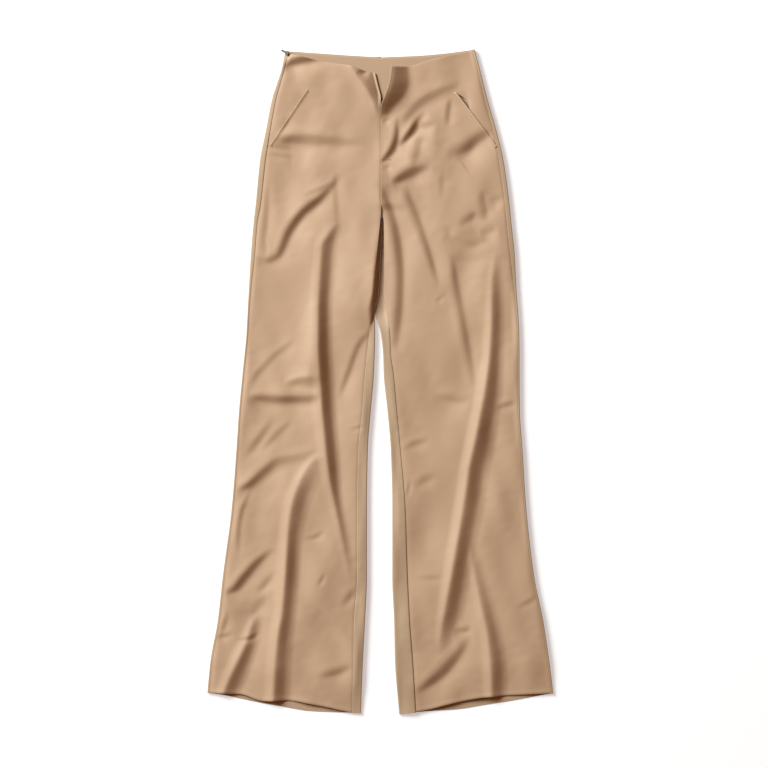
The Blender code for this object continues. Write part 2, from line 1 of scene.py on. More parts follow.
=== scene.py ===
# %% [markdown]
# # Palazzo trousers in satin-backed crepe, laid flat
#
# The trousers lie front side up with the waist towards +Y. Two front panels lie on two back panels, and
# each back panel rolls up over both edges of its leg to meet the front panel at a seam. The cloth solids
# that carry the part in the simulator are plain walls. Here each of them gets a fine shell on the same
# form, with its creases, seams, hems and finishes, and the slider and pull of the zip keep their solids.
#
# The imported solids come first, because every piece is placed by them.

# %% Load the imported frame
import math
from collections import namedtuple

import bmesh
import bpy
import numpy as np
from mathutils import Matrix, Vector


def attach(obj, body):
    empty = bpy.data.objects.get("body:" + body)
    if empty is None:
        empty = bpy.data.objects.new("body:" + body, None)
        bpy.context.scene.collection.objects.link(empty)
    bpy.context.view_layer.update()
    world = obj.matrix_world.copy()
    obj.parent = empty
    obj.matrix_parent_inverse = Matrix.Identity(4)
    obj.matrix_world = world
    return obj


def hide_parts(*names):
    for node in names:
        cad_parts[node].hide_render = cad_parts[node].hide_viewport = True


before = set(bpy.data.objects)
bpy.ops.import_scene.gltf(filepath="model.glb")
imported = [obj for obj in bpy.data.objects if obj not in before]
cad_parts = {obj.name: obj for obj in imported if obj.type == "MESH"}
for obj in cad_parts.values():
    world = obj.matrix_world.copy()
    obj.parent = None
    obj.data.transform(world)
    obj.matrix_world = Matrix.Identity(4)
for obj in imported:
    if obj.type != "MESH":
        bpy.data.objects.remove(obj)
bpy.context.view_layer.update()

# %% [markdown]
# ## The cut
#
# A trouser leg is known to its maker as widths at heights: the outer edge, the side seam, the front
# edge (centre front, then inseam) and the inner edge. Tables of these, in millimetres, are easier to
# read and to change than outlines, and a curve through each column gives the edge at any height.

# %% Sizes and cutting tables, in millimetres
MM = 0.001
CLOTH = 0.8  # the visible wall, thinner than the solids'
THIN_CLOTH = 0.6
SEAM_GAP = 0.14
EDGE_HEIGHT = 9.4
LAYER_HEIGHT = 10.0
ROLL = 1.3
CLIMB = 30.0
CROTCH_ROLL = 2.8
TUCK = 2.2
WAIST_Y = 548.0
HEM_Y = -548.0
CROTCH_Y = 285.0
WEDGE_TOP_Y = 280.0
LEGS_PART_Y = 79.0
WEDGE_END_Y = 122.0
BEND = 90.0
HEM_SETTLE = 4.2
SETTLE_LENGTH = 60.0

Section = namedtuple("Section", "y outer side_seam front_edge back_edge")
RIGHT_SECTIONS = [
    Section(548, -156.0, -149.5, -14.0, 1.8),
    Section(515, -162.5, -157.0, -8.5, 1.8),
    Section(492, -170.0, -163.6, -3.2, 1.8),
    Section(469, -177.5, -170.0, 1.5, 1.8),
    Section(416, -188.0, -180.0, 1.8, 1.8),
    Section(366, -198.0, -188.0, 1.8, 1.8),
    Section(290, -205.5, -196.5, 1.8, 1.8),
    Section(280, -206.7, -198.4, 1.8, 1.8),
    Section(264, -208.5, -201.5, 0.5, 3.4),
    Section(211, -213.0, -206.0, -5.0, 1.0),
    Section(152, -216.5, -212.0, -10.0, -2.0),
    Section(116, -218.5, -215.0, -13.0, -8.5),
    Section(79, -220.5, -217.0, -18.0, -8.0),
    Section(13, -227.0, -223.5, -25.0, -10.0),
    Section(-46, -232.5, -229.0, -29.5, -15.0),
    Section(-112, -237.0, -233.5, -36.0, -20.0),
    Section(-206, -244.5, -241.0, -38.0, -21.5),
    Section(-322, -259.5, -256.0, -38.0, -21.5),
    Section(-393, -267.5, -264.0, -43.0, -24.5),
    Section(-459, -279.5, -276.0, -44.5, -28.0),
    Section(-548, -288.0, -284.5, -46.0, -31.5),
]
LEFT_SECTIONS = [
    Section(548, 156.0, 151.5, 20.0, 1.8),
    Section(515, 165.0, 160.5, 18.0, 1.8),
    Section(492, 170.7, 165.8, 14.6, 1.8),
    Section(472, 175.8, 170.8, 8.6, 1.8),
    Section(452, 181.3, 176.0, 1.9, 1.8),
    Section(416, 191.5, 185.5, 1.8, 1.8),
    Section(366, 203.5, 195.5, 1.8, 1.8),
    Section(290, 214.0, 206.0, 1.8, 1.8),
    Section(280, 215.0, 207.0, 1.8, 1.8),
    Section(264, 216.5, 208.5, 6.2, 3.4),
    Section(211, 222.0, 214.5, 6.8, 1.0),
    Section(152, 225.0, 221.0, 6.6, -2.0),
    Section(116, 227.5, 224.0, 11.5, -8.5),
    Section(79, 229.5, 226.0, 16.5, 1.5),
    Section(45, 230.0, 226.5, 18.0, 5.0),
    Section(13, 230.0, 226.5, 22.5, 6.0),
    Section(-46, 230.5, 227.0, 28.0, 12.0),
    Section(-112, 235.0, 231.5, 34.0, 17.5),
    Section(-206, 241.0, 237.5, 42.0, 20.0),
    Section(-322, 254.5, 251.0, 46.0, 20.0),
    Section(-393, 269.0, 265.5, 49.5, 23.0),
    Section(-459, 279.0, 275.5, 54.5, 24.5),
    Section(-548, 290.0, 286.5, 60.0, 31.5),
]

Edge = namedtuple("Edge", "x y")
BACK_WAIST = [Edge(-157, 546), Edge(-99, 542), Edge(-41, 538), Edge(2, 536), Edge(62, 538),
              Edge(99, 541), Edge(155, 548)]
RIGHT_FRONT_WAIST = [Edge(-157, 543), Edge(-132, 537), Edge(-102, 530), Edge(-74, 525),
                     Edge(-48, 521), Edge(-26, 513), Edge(-8, 509)]
LEFT_FRONT_WAIST = [Edge(18, 518), Edge(48, 520), Edge(74, 528), Edge(99, 535), Edge(127, 541),
                    Edge(155, 547)]
RIGHT_FRONT_HEM = [Edge(-286, -512), Edge(-230, -515), Edge(-190, -526), Edge(-158, -525),
                   Edge(-104, -533), Edge(-44, -546)]
RIGHT_BACK_HEM = [Edge(-286, -512), Edge(-260, -516), Edge(-203, -528), Edge(-158, -536),
                  Edge(-115, -543), Edge(-31, -546)]
LEFT_FRONT_HEM = [Edge(31, -548), Edge(81, -540), Edge(107, -533), Edge(138, -526),
                  Edge(171, -520), Edge(226, -516), Edge(287, -513)]
LEFT_BACK_HEM = [Edge(31, -548), Edge(79, -543), Edge(127, -540), Edge(171, -533),
                 Edge(216, -526), Edge(259, -518), Edge(287, -513)]
print("tables:", len(RIGHT_SECTIONS), "and", len(LEFT_SECTIONS), "sections")

# %% [markdown]
# A plain cubic through the rows would swing past them where the rows are uneven. The slope at each row
# is therefore the harmonic mean of the slopes on its two sides, which can't overshoot.

# %% Curves through the tables


def smooth_step(t):
    """0 below 0, 1 above 1, and 3t^2 - 2t^3 between."""
    t = np.clip(t, 0.0, 1.0)
    return t * t * (3.0 - 2.0 * t)


def bell(distance, half):
    """1 at no distance, and down to 1/e at the half-width on both sides."""
    return np.exp(-((distance / half) ** 2))


def smooth_curve(at, knots, values):
    """A cubic between knots whose slope at each is the harmonic mean of its neighbours' slopes."""
    knots = np.asarray(knots, float)
    values = np.asarray(values, float)
    rates = np.diff(values) / np.diff(knots)
    product = rates[:-1] * rates[1:]
    total = rates[:-1] + rates[1:]
    inner = np.where(product > 0, 2 * product / np.where(product > 0, total, 1.0), 0.0)
    slopes = np.concatenate([rates[:1], inner, rates[-1:]])
    at = np.clip(at, knots[0], knots[-1])
    i = np.clip(np.searchsorted(knots, at) - 1, 0, len(knots) - 2)
    span = knots[i + 1] - knots[i]
    t = (at - knots[i]) / span
    start = values[i] * (1 + 2 * t) + span * slopes[i] * t
    end = values[i + 1] * (3 - 2 * t) - span * slopes[i + 1] * (1 - t)
    return start * (1 - t) ** 2 + end * t**2


def across(sections, column, y):
    """The x of one edge or seam of a leg at each y."""
    rows = sections[::-1]
    return smooth_curve(y, [row.y for row in rows], [getattr(row, column) for row in rows])


def edge_y(edge, x):
    return smooth_curve(x, [p.x for p in edge], [p.y for p in edge])


def down_rows(y, rows):
    """The value at each y from rows of (y, value) that are listed from the waist down."""
    return smooth_curve(y, [row[0] for row in rows[::-1]], [row[1] for row in rows[::-1]])


print("right leg is", round(float(across(RIGHT_SECTIONS, "back_edge", -300.0)
                                  - across(RIGHT_SECTIONS, "outer", -300.0))), "mm wide at the calf")

# %% [markdown]
# ## Creases
#
# Crepe that is laid down by hand keeps long soft folds. Each has a gentle flank and a steep one that
# meet in a narrow crest, and it swells, narrows and dies away along its length. Some stand up as a ridge,
# some sink as a trough, most do a little of both. A cloth simulation would give folds somewhere, but not
# these ones, so each is placed one by one: a path down the middle of its steep flank, with the height and
# the steep flank's width at every point of it. The steep flank lies to the left of the direction of
# travel. "ridge" is the share of the height that stands up, and the rest sinks.

# %% Crease tables for the right leg, in millimetres
# Each row holds x, y, height and width of the steep flank. "crest" is the share of a ridge's height
# that stands in a narrow shoulder along its crest.
Crease = namedtuple("Crease", "name gentle ridge rows crest", defaults=(0.2,))

RIGHT_CREASES = [
    Crease("thigh_main", 48, 0.60, [
        (-66, 262, 0, 8), (-80, 240, 5, 12), (-87, 220, 7.5, 17), (-89, 190, 8.5, 17), (-92, 150, 9.5, 16),
        (-94, 110, 11, 15), (-94, 60, 12, 15), (-91, 10, 12.5, 15), (-88, -40, 13, 15),
        (-84, -85, 12.5, 15), (-80, -130, 11, 14), (-76, -165, 8.5, 12), (-70, -200, 6, 10),
        (-62, -240, 4, 9), (-53, -284, 2.5, 9), (-43, -332, 0, 8)], 0.45),
    Crease("thigh_facet", 56, 1.0, [
        (-98, 200, 0, 14), (-102, 140, 2.2, 16), (-104, 80, 4.0, 18), (-105, 36, 5.0, 20),
        (-107, 8, 3.6, 18), (-109, -12, 0, 14)]),
    Crease("shin_main", 46, 0.75, [
        (-92, -122, 0, 10), (-104, -134, 3, 15), (-120, -164, 6.5, 20), (-137, -210, 8.5, 19),
        (-144, -257, 9.5, 16), (-147, -296, 10, 15), (-150, -335, 10, 15), (-154, -384, 9.5, 16),
        (-160, -422, 9.5, 17), (-164, -474, 9, 18), (-167, -531, 9, 18), (-169, -600, 9, 18)], 0.55),
    Crease("outer_hem", 40, 0.75, [
        (-200, -384, 0, 8), (-206, -404, 5, 12), (-213, -430, 7.5, 14), (-225, -458, 9, 16),
        (-238, -488, 9, 18), (-252, -522, 7.5, 18), (-270, -562, 6, 16)], 0.4),
    Crease("outer_hem_tick", 14, 0.4, [(-250, -376, 0, 6), (-258, -400, 2.5, 9), (-268, -424, 0, 7)]),
    Crease("outer_hem_tuck", 12, 0.3, [(-240, -412, 0, 5), (-258, -418, 2.0, 5), (-272, -419, 0, 5)]),
    Crease("hip_hook", 40, 0.4, [
        (-66, 342, 0, 6), (-84, 318, 4, 9), (-99, 302, 6.5, 10), (-127, 279, 8, 11), (-150, 247, 6.5, 11),
        (-168, 208, 4.5, 10), (-186, 200, 3, 8), (-203, 209, 0, 6)]),
    Crease("hip_hook_upper", 12, 0.5, [(-78, 328, 0, 5), (-102, 317, 1.6, 6), (-128, 305, 0, 5)]),
    Crease("hip_line", 16, 0.4, [(-75, 350, 0, 6), (-73, 300, 1.5, 8), (-69, 252, 0, 6)]),
    Crease("inner_edge", 70, 1.0, [
        (9, 258, 0, 10), (1, 214, 3.0, 12), (-4, 165, 4.2, 12), (-7, 125, 3.8, 12), (-11, 84, 0, 10)], 0.0),
    Crease("front_swell", 66, 1.0, [
        (20, 400, 0, 34), (18, 330, 3.4, 34), (16, 250, 3.6, 34), (6, 150, 2.4, 30), (0, 60, 0, 24)]),
    Crease("side_dip", 14, 0.3, [(-186, 340, 0, 7), (-188, 275, 1.8, 8), (-195, 205, 0, 7)]),
    Crease("pocket_line", 44, 0.5, [
        (-26, 393, 0, 8), (-58, 395, 3, 12), (-85, 397, 5.5, 15), (-112, 399, 8, 17),
        (-145, 400, 8, 15), (-174, 396, 0, 10)]),
    Crease("pocket_crease_a", 10, 0.4, [(-142, 382, 0, 4), (-163, 387, 1.5, 6), (-184, 391, 0, 5)]),
    Crease("pocket_crease_b", 10, 0.4, [(-146, 369, 0, 4), (-167, 374, 1.3, 5), (-188, 377, 0, 5)]),
    Crease("pocket_dent", 22, 0.2, [(-150, 440, 0, 8), (-158, 425, 2.0, 12), (-172, 404, 0, 9)]),
    Crease("thigh_slant", 16, 0.6, [
        (-138, 72, 0, 6), (-168, 48, 1.5, 8), (-201, 15, 1.5, 8), (-215, -6, 0, 6)]),
    Crease("thigh_bump", 26, 0.8, [
        (-98, 4, 0, 8), (-124, 4, 3.0, 10), (-142, 0, 2.4, 9), (-158, -4, 0, 7)]),
    Crease("inner_thigh", 22, 0.35, [
        (-12, 88, 0, 6), (-34, 62, 2.5, 8), (-52, 16, 3, 8), (-69, -30, 0, 6)]),
    Crease("knee_bar", 44, 0.5, [
        (-98, -26, 0, 8), (-120, -28, 6, 12), (-158, -29, 8, 13), (-194, -27, 6.5, 12),
        (-216, -24, 0, 8)]),
    Crease("knee_line", 22, 0.4, [(-172, -54, 0, 8), (-201, -96, 3, 10), (-224, -125, 0, 8)]),
    Crease("knee_line_low", 16, 0.4, [(-144, -62, 0, 6), (-170, -86, 1.8, 8), (-198, -116, 0, 6)]),
    Crease("knee_slant", 44, 0.6, [
        (-96, -108, 0, 8), (-130, -124, 2.2, 12), (-165, -130, 3.6, 14), (-190, -147, 5.5, 13),
        (-214, -168, 5.5, 11), (-238, -181, 0, 8)], 0.35),
    Crease("knee_branch", 14, 0.5, [
        (-212, -176, 0, 5), (-228, -214, 2, 6), (-233, -246, 1.8, 6), (-235, -292, 0, 5)]),
    Crease("shin_fleck", 9, 0.4, [(-92, -244, 0, 5), (-106, -254, 1.6, 6), (-124, -258, 0, 5)]),
    Crease("shin_tick", 6, 0.2, [(-90, -314, 0, 4), (-97, -326, 1.4, 4), (-104, -338, 0, 4)]),
    Crease("shin_slant", 36, 0.4, [
        (-172, -272, 0, 7), (-201, -296, 4.5, 10), (-222, -320, 7, 12), (-240, -341, 5.5, 10),
        (-256, -347, 0, 7)], 0.35),
    Crease("shin_slant_low", 14, 0.3, [(-172, -310, 0, 6), (-188, -330, 2.2, 9), (-206, -350, 0, 6)]),
    Crease("shin_patch", 18, 0.3, [(-186, -352, 0, 8), (-200, -366, 2.0, 12), (-214, -384, 0, 8)]),
    Crease("hem_tick", 7, 0.3, [(-198, -412, 0, 4), (-215, -421, 2.2, 5), (-236, -424, 0, 4)]),
    Crease("hem_dip", 34, 0.3, [(-46, -466, 0, 8), (-72, -478, 4, 11), (-104, -484, 0, 8)]),
    Crease("inseam_dent", 16, 0.3, [(-42, -338, 0, 8), (-50, -352, 2.4, 10), (-66, -372, 0, 8)]),
    Crease("hem_drag", 20, 0.4, [(-52, -430, 0, 8), (-76, -400, 1.8, 12), (-104, -368, 0, 8)]),
    Crease("calf_slant", 30, 0.5, [
        (-49, -452, 0, 12), (-66, -421, 2, 16), (-92, -388, 2, 16), (-132, -348, 0, 12)]),
    Crease("inseam_tick", 6, 0.4, [(-28, -71, 0, 4), (-38, -75, 1.2, 4), (-50, -77, 0, 4)]),
    Crease("fly_flap", 16, 0.9, [
        (-50, 540, 3.0, 12), (-36, 514, 3.4, 14), (-19, 488, 3.4, 13), (-8, 465, 2.5, 9), (-1, 436, 0, 6)]),
    Crease("fly_dimple", 10, 0.1, [(-18, 515, 0, 5), (-28, 512, 3.0, 7), (-40, 510, 0, 5)]),
    Crease("waist_sink", 26, 0.5, [
        (-64, 531, 0, 8), (-95, 534, 4.5, 10), (-120, 532, 9, 11), (-142, 528, 9, 11),
        (-160, 524, 3.5, 10)]),
]
print(len(RIGHT_CREASES), "creases on the right leg")

# %% Crease tables for the left leg, in millimetres
LEFT_CREASES = [
    Crease("crotch_pull", 34, 0.3, [
        (2, 322, 0, 8), (10, 300, 4.5, 10), (20, 271, 6, 12), (29, 226, 6.5, 13), (33, 180, 6.5, 13),
        (32, 135, 6, 13), (28, 89, 4, 12), (23, 52, 0, 8)]),
    Crease("inner_thigh", 38, 0.25, [
        (40, 328, 0, 8), (47, 305, 3.5, 10), (58, 278, 4.5, 11), (71, 240, 4.5, 10), (85, 198, 3.5, 8),
        (97, 154, 0, 6)]),
    Crease("mid_thigh", 40, 0.35, [
        (118, 212, 0, 6), (125, 163, 4, 10), (132, 124, 4.5, 11), (141, 75, 4.5, 11),
        (149, 30, 3.5, 10), (154, -12, 0, 7)]),
    Crease("thigh_main", 44, 0.70, [
        (193, 212, 0, 8), (191, 150, 4.5, 13), (190, 90, 7, 14), (188, 40, 9, 16), (184, -2, 11, 19),
        (177, -48, 12.5, 21), (167, -100, 13, 22), (159, -140, 13, 23), (153, -180, 12.5, 23),
        (146, -220, 12.5, 22), (139, -258, 12, 21), (132, -296, 11, 21), (125, -336, 9.5, 21),
        (118, -374, 8, 21), (111, -410, 5, 19), (106, -448, 0, 16)], 0.6),
    Crease("hem_slant", 44, 0.35, [
        (148, -414, 0, 9), (134, -440, 5, 13), (114, -466, 8, 17), (93, -487, 6.5, 15),
        (74, -501, 3.5, 11), (56, -514, 0, 8)]),
    Crease("knot", 26, 0.3, [(150, -402, 0, 6), (138, -409, 3.4, 8), (122, -408, 0, 6)]),
    Crease("outer_hem", 40, 0.7, [
        (151, -262, 0, 8), (162, -315, 3.5, 12), (173, -365, 5.5, 14), (185, -415, 7.5, 16),
        (191, -465, 8.5, 18), (193, -507, 9, 18), (195, -570, 9, 18)], 0.5),
    Crease("upper_drag", 44, 0.55, [
        (132, 490, 0, 8), (104, 480, 3.4, 13), (82, 470, 4.6, 14), (64, 457, 4.6, 14), (46, 438, 3, 12),
        (30, 420, 0, 8)]),
    Crease("middle_drag", 34, 0.4, [
        (76, 446, 0, 6), (62, 431, 4.5, 7), (53, 415, 8, 7), (43, 402, 7, 7), (31, 388, 0, 5)]),
    Crease("short_drag", 26, 0.35, [(92, 426, 0, 6), (76, 424, 3.2, 10), (58, 421, 0, 6)]),
    Crease("lower_drag", 30, 0.35, [
        (29, 440, 0, 5), (28, 424, 2.5, 6), (27, 404, 6, 8), (21, 385, 6.5, 8), (12, 372, 5, 6),
        (0, 360, 0, 5)]),
    Crease("drag_tick", 16, 0.3, [
        (116, 468, 0, 5), (113, 452, 2.6, 7), (111, 436, 2.2, 7), (110, 420, 0, 5)]),
    Crease("crotch_drag", 44, 0.4, [
        (84, 358, 0, 9), (66, 352, 6, 13), (49, 344, 9.5, 16), (34, 336, 8, 12), (18, 328, 0, 8)]),
    Crease("crotch_dent", 34, 0.3, [
        (68, 408, 0, 8), (63, 394, 3.5, 12), (58, 372, 3.5, 12), (52, 354, 0, 8)]),
    Crease("hip_dent", 44, 0.3, [
        (184, 414, 0, 10), (167, 405, 6, 15), (144, 389, 6.5, 15), (122, 379, 3.4, 14), (110, 366, 0, 10)]),
    Crease("hip_dent_low", 30, 0.3, [(158, 392, 0, 8), (140, 377, 2.6, 12), (120, 366, 0, 9)]),
    Crease("hip_tick_a", 26, 0.2, [
        (167, 316, 0, 5), (168, 302, 2.0, 9), (172, 284, 2.6, 10), (171, 262, 0, 6)]),
    Crease("hip_tick_b", 24, 0.2, [(180, 302, 0, 6), (186, 292, 1.7, 10), (192, 280, 0, 6)]),
    Crease("hip_tick_c", 28, 0.2, [
        (157, 282, 0, 6), (150, 272, 3.0, 10), (138, 264, 1.8, 10), (131, 254, 0, 6)]),
    Crease("hip_tick_d", 28, 0.2, [(192, 256, 0, 6), (178, 250, 2.6, 12), (164, 248, 0, 6)]),
    Crease("hip_tick_e", 22, 0.3, [(103, 350, 0, 6), (101, 330, 1.6, 8), (100, 300, 0, 6)]),
    Crease("hip_tick_f", 24, 0.2, [(114, 262, 0, 6), (108, 248, 1.2, 11), (112, 232, 0, 6)]),
    Crease("hip_arc", 30, 0.2, [
        (176, 236, 0, 8), (148, 227, 2.6, 12), (128, 236, 2.4, 12), (112, 250, 0, 8)]),
    Crease("hip_shade", 34, 0.2, [(186, 216, 0, 12), (150, 206, 1.8, 18), (112, 214, 0, 12)]),
    Crease("thigh_fleck", 24, 0.0, [(93, 137, 0, 4), (96, 133, 0.8, 4), (100, 129, 0, 4)]),
    Crease("seam_tick_a", 10, 0.3, [(17, 434, 0, 4), (10, 432, 1.8, 4), (3, 431, 0, 4)]),
    Crease("seam_tick_b", 10, 0.3, [(18, 357, 0, 4), (12, 355, 1.6, 4), (4, 354, 0, 4)]),
    Crease("knee_bar", 34, 0.4, [(147, -30, 0, 9), (118, -27, 3.4, 12), (88, -22, 0, 9)]),
    Crease("knee_bump", 14, 0.5, [(80, -96, 0, 7), (60, -99, 2.2, 9), (36, -112, 0, 7)]),
    Crease("knee_dent", 16, 0.3, [(92, -152, 0, 8), (74, -160, 1.8, 11), (56, -172, 0, 8)]),
    Crease("side_fleck", 12, 0.4, [(225, -32, 0, 5), (208, -37, 2.4, 8), (188, -44, 0, 5)]),
    Crease("inseam_fleck", 6, 0.4, [(48, -160, 0, 4), (46, -176, 1.2, 4), (42, -193, 0, 4)]),
    Crease("shin_line", 12, 0.4, [(108, -320, 0, 6), (82, -322, 1.2, 7), (55, -321, 0, 6)]),
    Crease("hem_fleck", 12, 0.4, [(264, -349, 0, 5), (245, -361, 1.6, 7), (226, -372, 0, 5)]),
]
print(len(LEFT_CREASES), "creases on the left leg")

# %% [markdown]
# A point's distance from a path is signed, so that one formula serves both flanks. Only the points near
# a path are worked on, which keeps seventy creases on eighty thousand points to a few seconds. Near the
# centre front a crease of one leg runs on into the other, so there both lists count.

# %% The rise of one crease
PATH_STEPS = 140
LOFT = 1.25  # the tables hold the folds as pressed by hand, and released they stand this much higher

# A flank's width is a share of the steep or the gentle width. Its fall is a power, and its crest is
# rounded over a crown of a few tenths of a millimetre plus a share of the steep width.
Flank = namedtuple("Flank", "width power crown crown_share")
STEEP_FLANK = Flank(1.35, 1.6, 0.8, 0.24)
SHOULDER_FLANK = Flank(0.36, 2.0, 1.0, 0.12)
SWELL_FLANK = Flank(1.25, 2.2, 1.0, 0.12)
THIN_END = 0.45  # share of the gentle width that a crease keeps where its height runs out


def crease_path(crease):
    """Points along the path, a unit vector at each, and its height and steep width there."""
    knots = np.linspace(0.0, 1.0, len(crease.rows))
    along = np.linspace(0.0, 1.0, PATH_STEPS)
    columns = [smooth_curve(along, knots, [row[k] for row in crease.rows]) for k in range(4)]
    points = np.stack(columns[:2], -1)
    steps = np.gradient(points, axis=0)
    return points, steps / np.linalg.norm(steps, axis=1)[:, None], columns[2], columns[3]


def fold_side(distance, flank, width, steep):
    """1 at the crest, falling as (1 - r / width)^power, where r rounds the crest off over its crown."""
    crown = flank.crown + flank.crown_share * steep
    rounded = np.sqrt(distance**2 + crown**2) - crown
    return np.clip(1 - rounded / (flank.width * width), 0.0, 1.0) ** flank.power


def fold_profile(left, gentle, steep, shoulder):
    """Share of the height across a ridge whose crest lies half a steep width to the right of the path.

    The gentle side is a narrow shoulder by the crest, of the share given, on a wide, low swell.
    """
    past_crest = left + 0.5 * steep
    down = fold_side(past_crest, STEEP_FLANK, steep, steep)
    near = fold_side(past_crest, SHOULDER_FLANK, gentle, steep)
    swell = fold_side(past_crest, SWELL_FLANK, gentle, steep)
    return np.where(past_crest > 0, down, shoulder * near + (1 - shoulder) * swell)


def crease_rise(x, y, crease):
    """What one crease adds to the height at each point: a ridge, and the same upside down as a trough."""
    points, unit, height, steep = crease_path(crease)
    reach = SWELL_FLANK.width * crease.gentle + 2 * steep.max()
    low = points.min(axis=0) - reach
    high = points.max(axis=0) + reach
    near = (x > low[0]) & (x < high[0]) & (y > low[1]) & (y < high[1])
    rise = np.zeros(x.shape)
    if not near.any():
        return rise
    offset = np.stack([x[near], y[near]], -1)[:, None] - points
    nearest = np.argmin((offset**2).sum(-1), axis=1)
    offset = offset[np.arange(len(nearest)), nearest]
    heading = unit[nearest]
    left = offset[:, 1] * heading[:, 0] - offset[:, 0] * heading[:, 1]
    gentle = crease.gentle * (THIN_END + (1 - THIN_END) * height / height.max())[nearest]
    ridge = fold_profile(left, gentle, steep[nearest], crease.crest)
    trough = fold_profile(-left, gentle, steep[nearest], 0.0)
    rise[near] = LOFT * height[nearest] * (crease.ridge * ridge - (1 - crease.ridge) * trough)
    return rise


test = crease_rise(np.array([-104.0]), np.array([100.0]), RIGHT_CREASES[0])
print("the main thigh crease stands", test.round(1), "mm high at its crest")

# %% [markdown]
# ## How the cloth lies
#
# The top surface is a height over the floor plan. It starts at a rolled edge, climbs to the height of
# two layers with air between, and carries the creases. Where the legs part, it also comes down to a
# rolled inner edge. A few long, faint waves keep the quiet stretches from looking like sheet metal.

# %% The height of the top surface
Leg = namedtuple("Leg", "name sections creases others front_waist front_hem back_hem side")
RIGHT = Leg("right", RIGHT_SECTIONS, RIGHT_CREASES, LEFT_CREASES, RIGHT_FRONT_WAIST, RIGHT_FRONT_HEM,
            RIGHT_BACK_HEM, 1.0)
LEFT = Leg("left", LEFT_SECTIONS, LEFT_CREASES, RIGHT_CREASES, LEFT_FRONT_WAIST, LEFT_FRONT_HEM,
           LEFT_BACK_HEM, -1.0)

FLY_END_Y = {"right": 462.0, "left": 432.0}
FLY_CLOSE = 12.0  # mm over which an open fly edge becomes a closed seam
JOIN_LENGTH = 15.0  # mm over which creases start to run on from leg to leg above the wedge
SLIDER_AT = (-151.5, 540.3)
ZIP_DIP = 2.2
ZIP_DIP_HALF = 10.0
FREE_WIDTH = 12.0  # creases fade out within this distance of a rolled edge

WAVES = 16
waves = np.random.default_rng(11)
wave_length = waves.uniform(38, 150, WAVES)
wave_heading = waves.normal(0.0, 0.45, WAVES)  # radians from +X, so most crests run along the leg
wave_phase = waves.uniform(0, 2 * np.pi, WAVES)
WAVE_STEEPNESS = 0.0035  # height of each wave over its length

RIPPLES = 26
ripple_length = waves.uniform(14, 44, RIPPLES)
ripple_heading = waves.uniform(-np.pi, np.pi, RIPPLES)
ripple_phase = waves.uniform(0, 2 * np.pi, RIPPLES)
RIPPLE_STEEPNESS = 0.0008


def plane_waves(x, y, length, heading, phase, steepness):
    """A sum of plane waves, each as high as its length times the steepness."""
    turn = x[..., None] * np.cos(heading) + y[..., None] * np.sin(heading)
    return (steepness * length * np.sin(2 * np.pi * turn / length + phase)).sum(-1)


def slow_waves(x, y):
    """Long waves along the leg, and short ripples that come and go in patches about 100 mm wide."""
    slow = plane_waves(x, y, wave_length, wave_heading, wave_phase, WAVE_STEEPNESS)
    ripples = plane_waves(x, y, ripple_length, ripple_heading, ripple_phase, RIPPLE_STEEPNESS)
    patch = 0.5 + 0.5 * np.sin(x / 31.0 + 1.7 * np.sin(y / 47.0)) * np.sin(y / 37.0 + 0.6)
    return slow + ripples * (0.35 + patch)


def climb(distance):
    """0 at a rolled edge, 1 where the cloth has its full height, easing off on the way up."""
    return 1 - (1 - np.clip(distance / CLIMB, 0.0, 1.0)) ** 2


def parting(y):
    """0 above the crotch, 1 where the legs lie apart."""
    return smooth_step((CROTCH_Y - y) / (CROTCH_Y - LEGS_PART_Y))


def settle(x, y, leg):
    """How far the cloth sinks towards its open hem, where nothing holds the layers apart."""
    return -HEM_SETTLE * smooth_step(1 - (y - edge_y(leg.front_hem, x)) / SETTLE_LENGTH)


def zip_dip(x, y):
    """The waist corner sinks under the slider of the zip, in a bell."""
    return -ZIP_DIP * bell(np.hypot(x - SLIDER_AT[0], y - SLIDER_AT[1]), ZIP_DIP_HALF)


def lay_height(x, y, leg):
    """Edge height, plus the climb to full height, plus creases and waves, which fade at the edges."""
    x, y = np.broadcast_arrays(np.asarray(x, float), np.asarray(y, float))
    to_outer = np.abs(x - across(leg.sections, "outer", y))
    to_inner = np.abs(x - across(leg.sections, "back_edge", y))
    lie = climb(to_outer) * (1 - parting(y) * (1 - climb(to_inner)))
    free = smooth_step(to_outer / FREE_WIDTH) * (1 - parting(y) * (1 - smooth_step(to_inner / FREE_WIDTH)))
    rise = sum(crease_rise(x, y, crease) for crease in leg.creases) + slow_waves(x, y)
    below_fly = smooth_step((FLY_END_Y["left"] + FLY_CLOSE / 2 - y) / FLY_CLOSE)
    joined = smooth_step((y - WEDGE_TOP_Y) / JOIN_LENGTH) * below_fly
    if joined.any():
        rise = rise + joined * sum(crease_rise(x, y, crease) for crease in leg.others)
    rise = rise * free + settle(x, y, leg) + zip_dip(x, y)
    return EDGE_HEIGHT + (LAYER_HEIGHT - EDGE_HEIGHT) * lie + rise


print("height at mid-thigh", lay_height(np.array([-120.0]), np.array([100.0]), RIGHT).round(1), "mm")

# %% [markdown]
# ## Grids
#
# Each panel is a grid whose rows run along the cloth's weft and whose columns run down its warp. Lines
# are set close together beside every cut edge and seam, where the cloth turns in a millimetre or two,
# and further apart between. Rows near the waist and the hem bend to follow those edges.

# %% Rows and columns of a panel
EDGE_LINES = np.array([0.0, 0.45, 0.95, 1.6, 2.5, 3.7, 5.2])  # distances from an edge
MIDDLE_COLUMNS = 88
MIDDLE_ROWS = 408


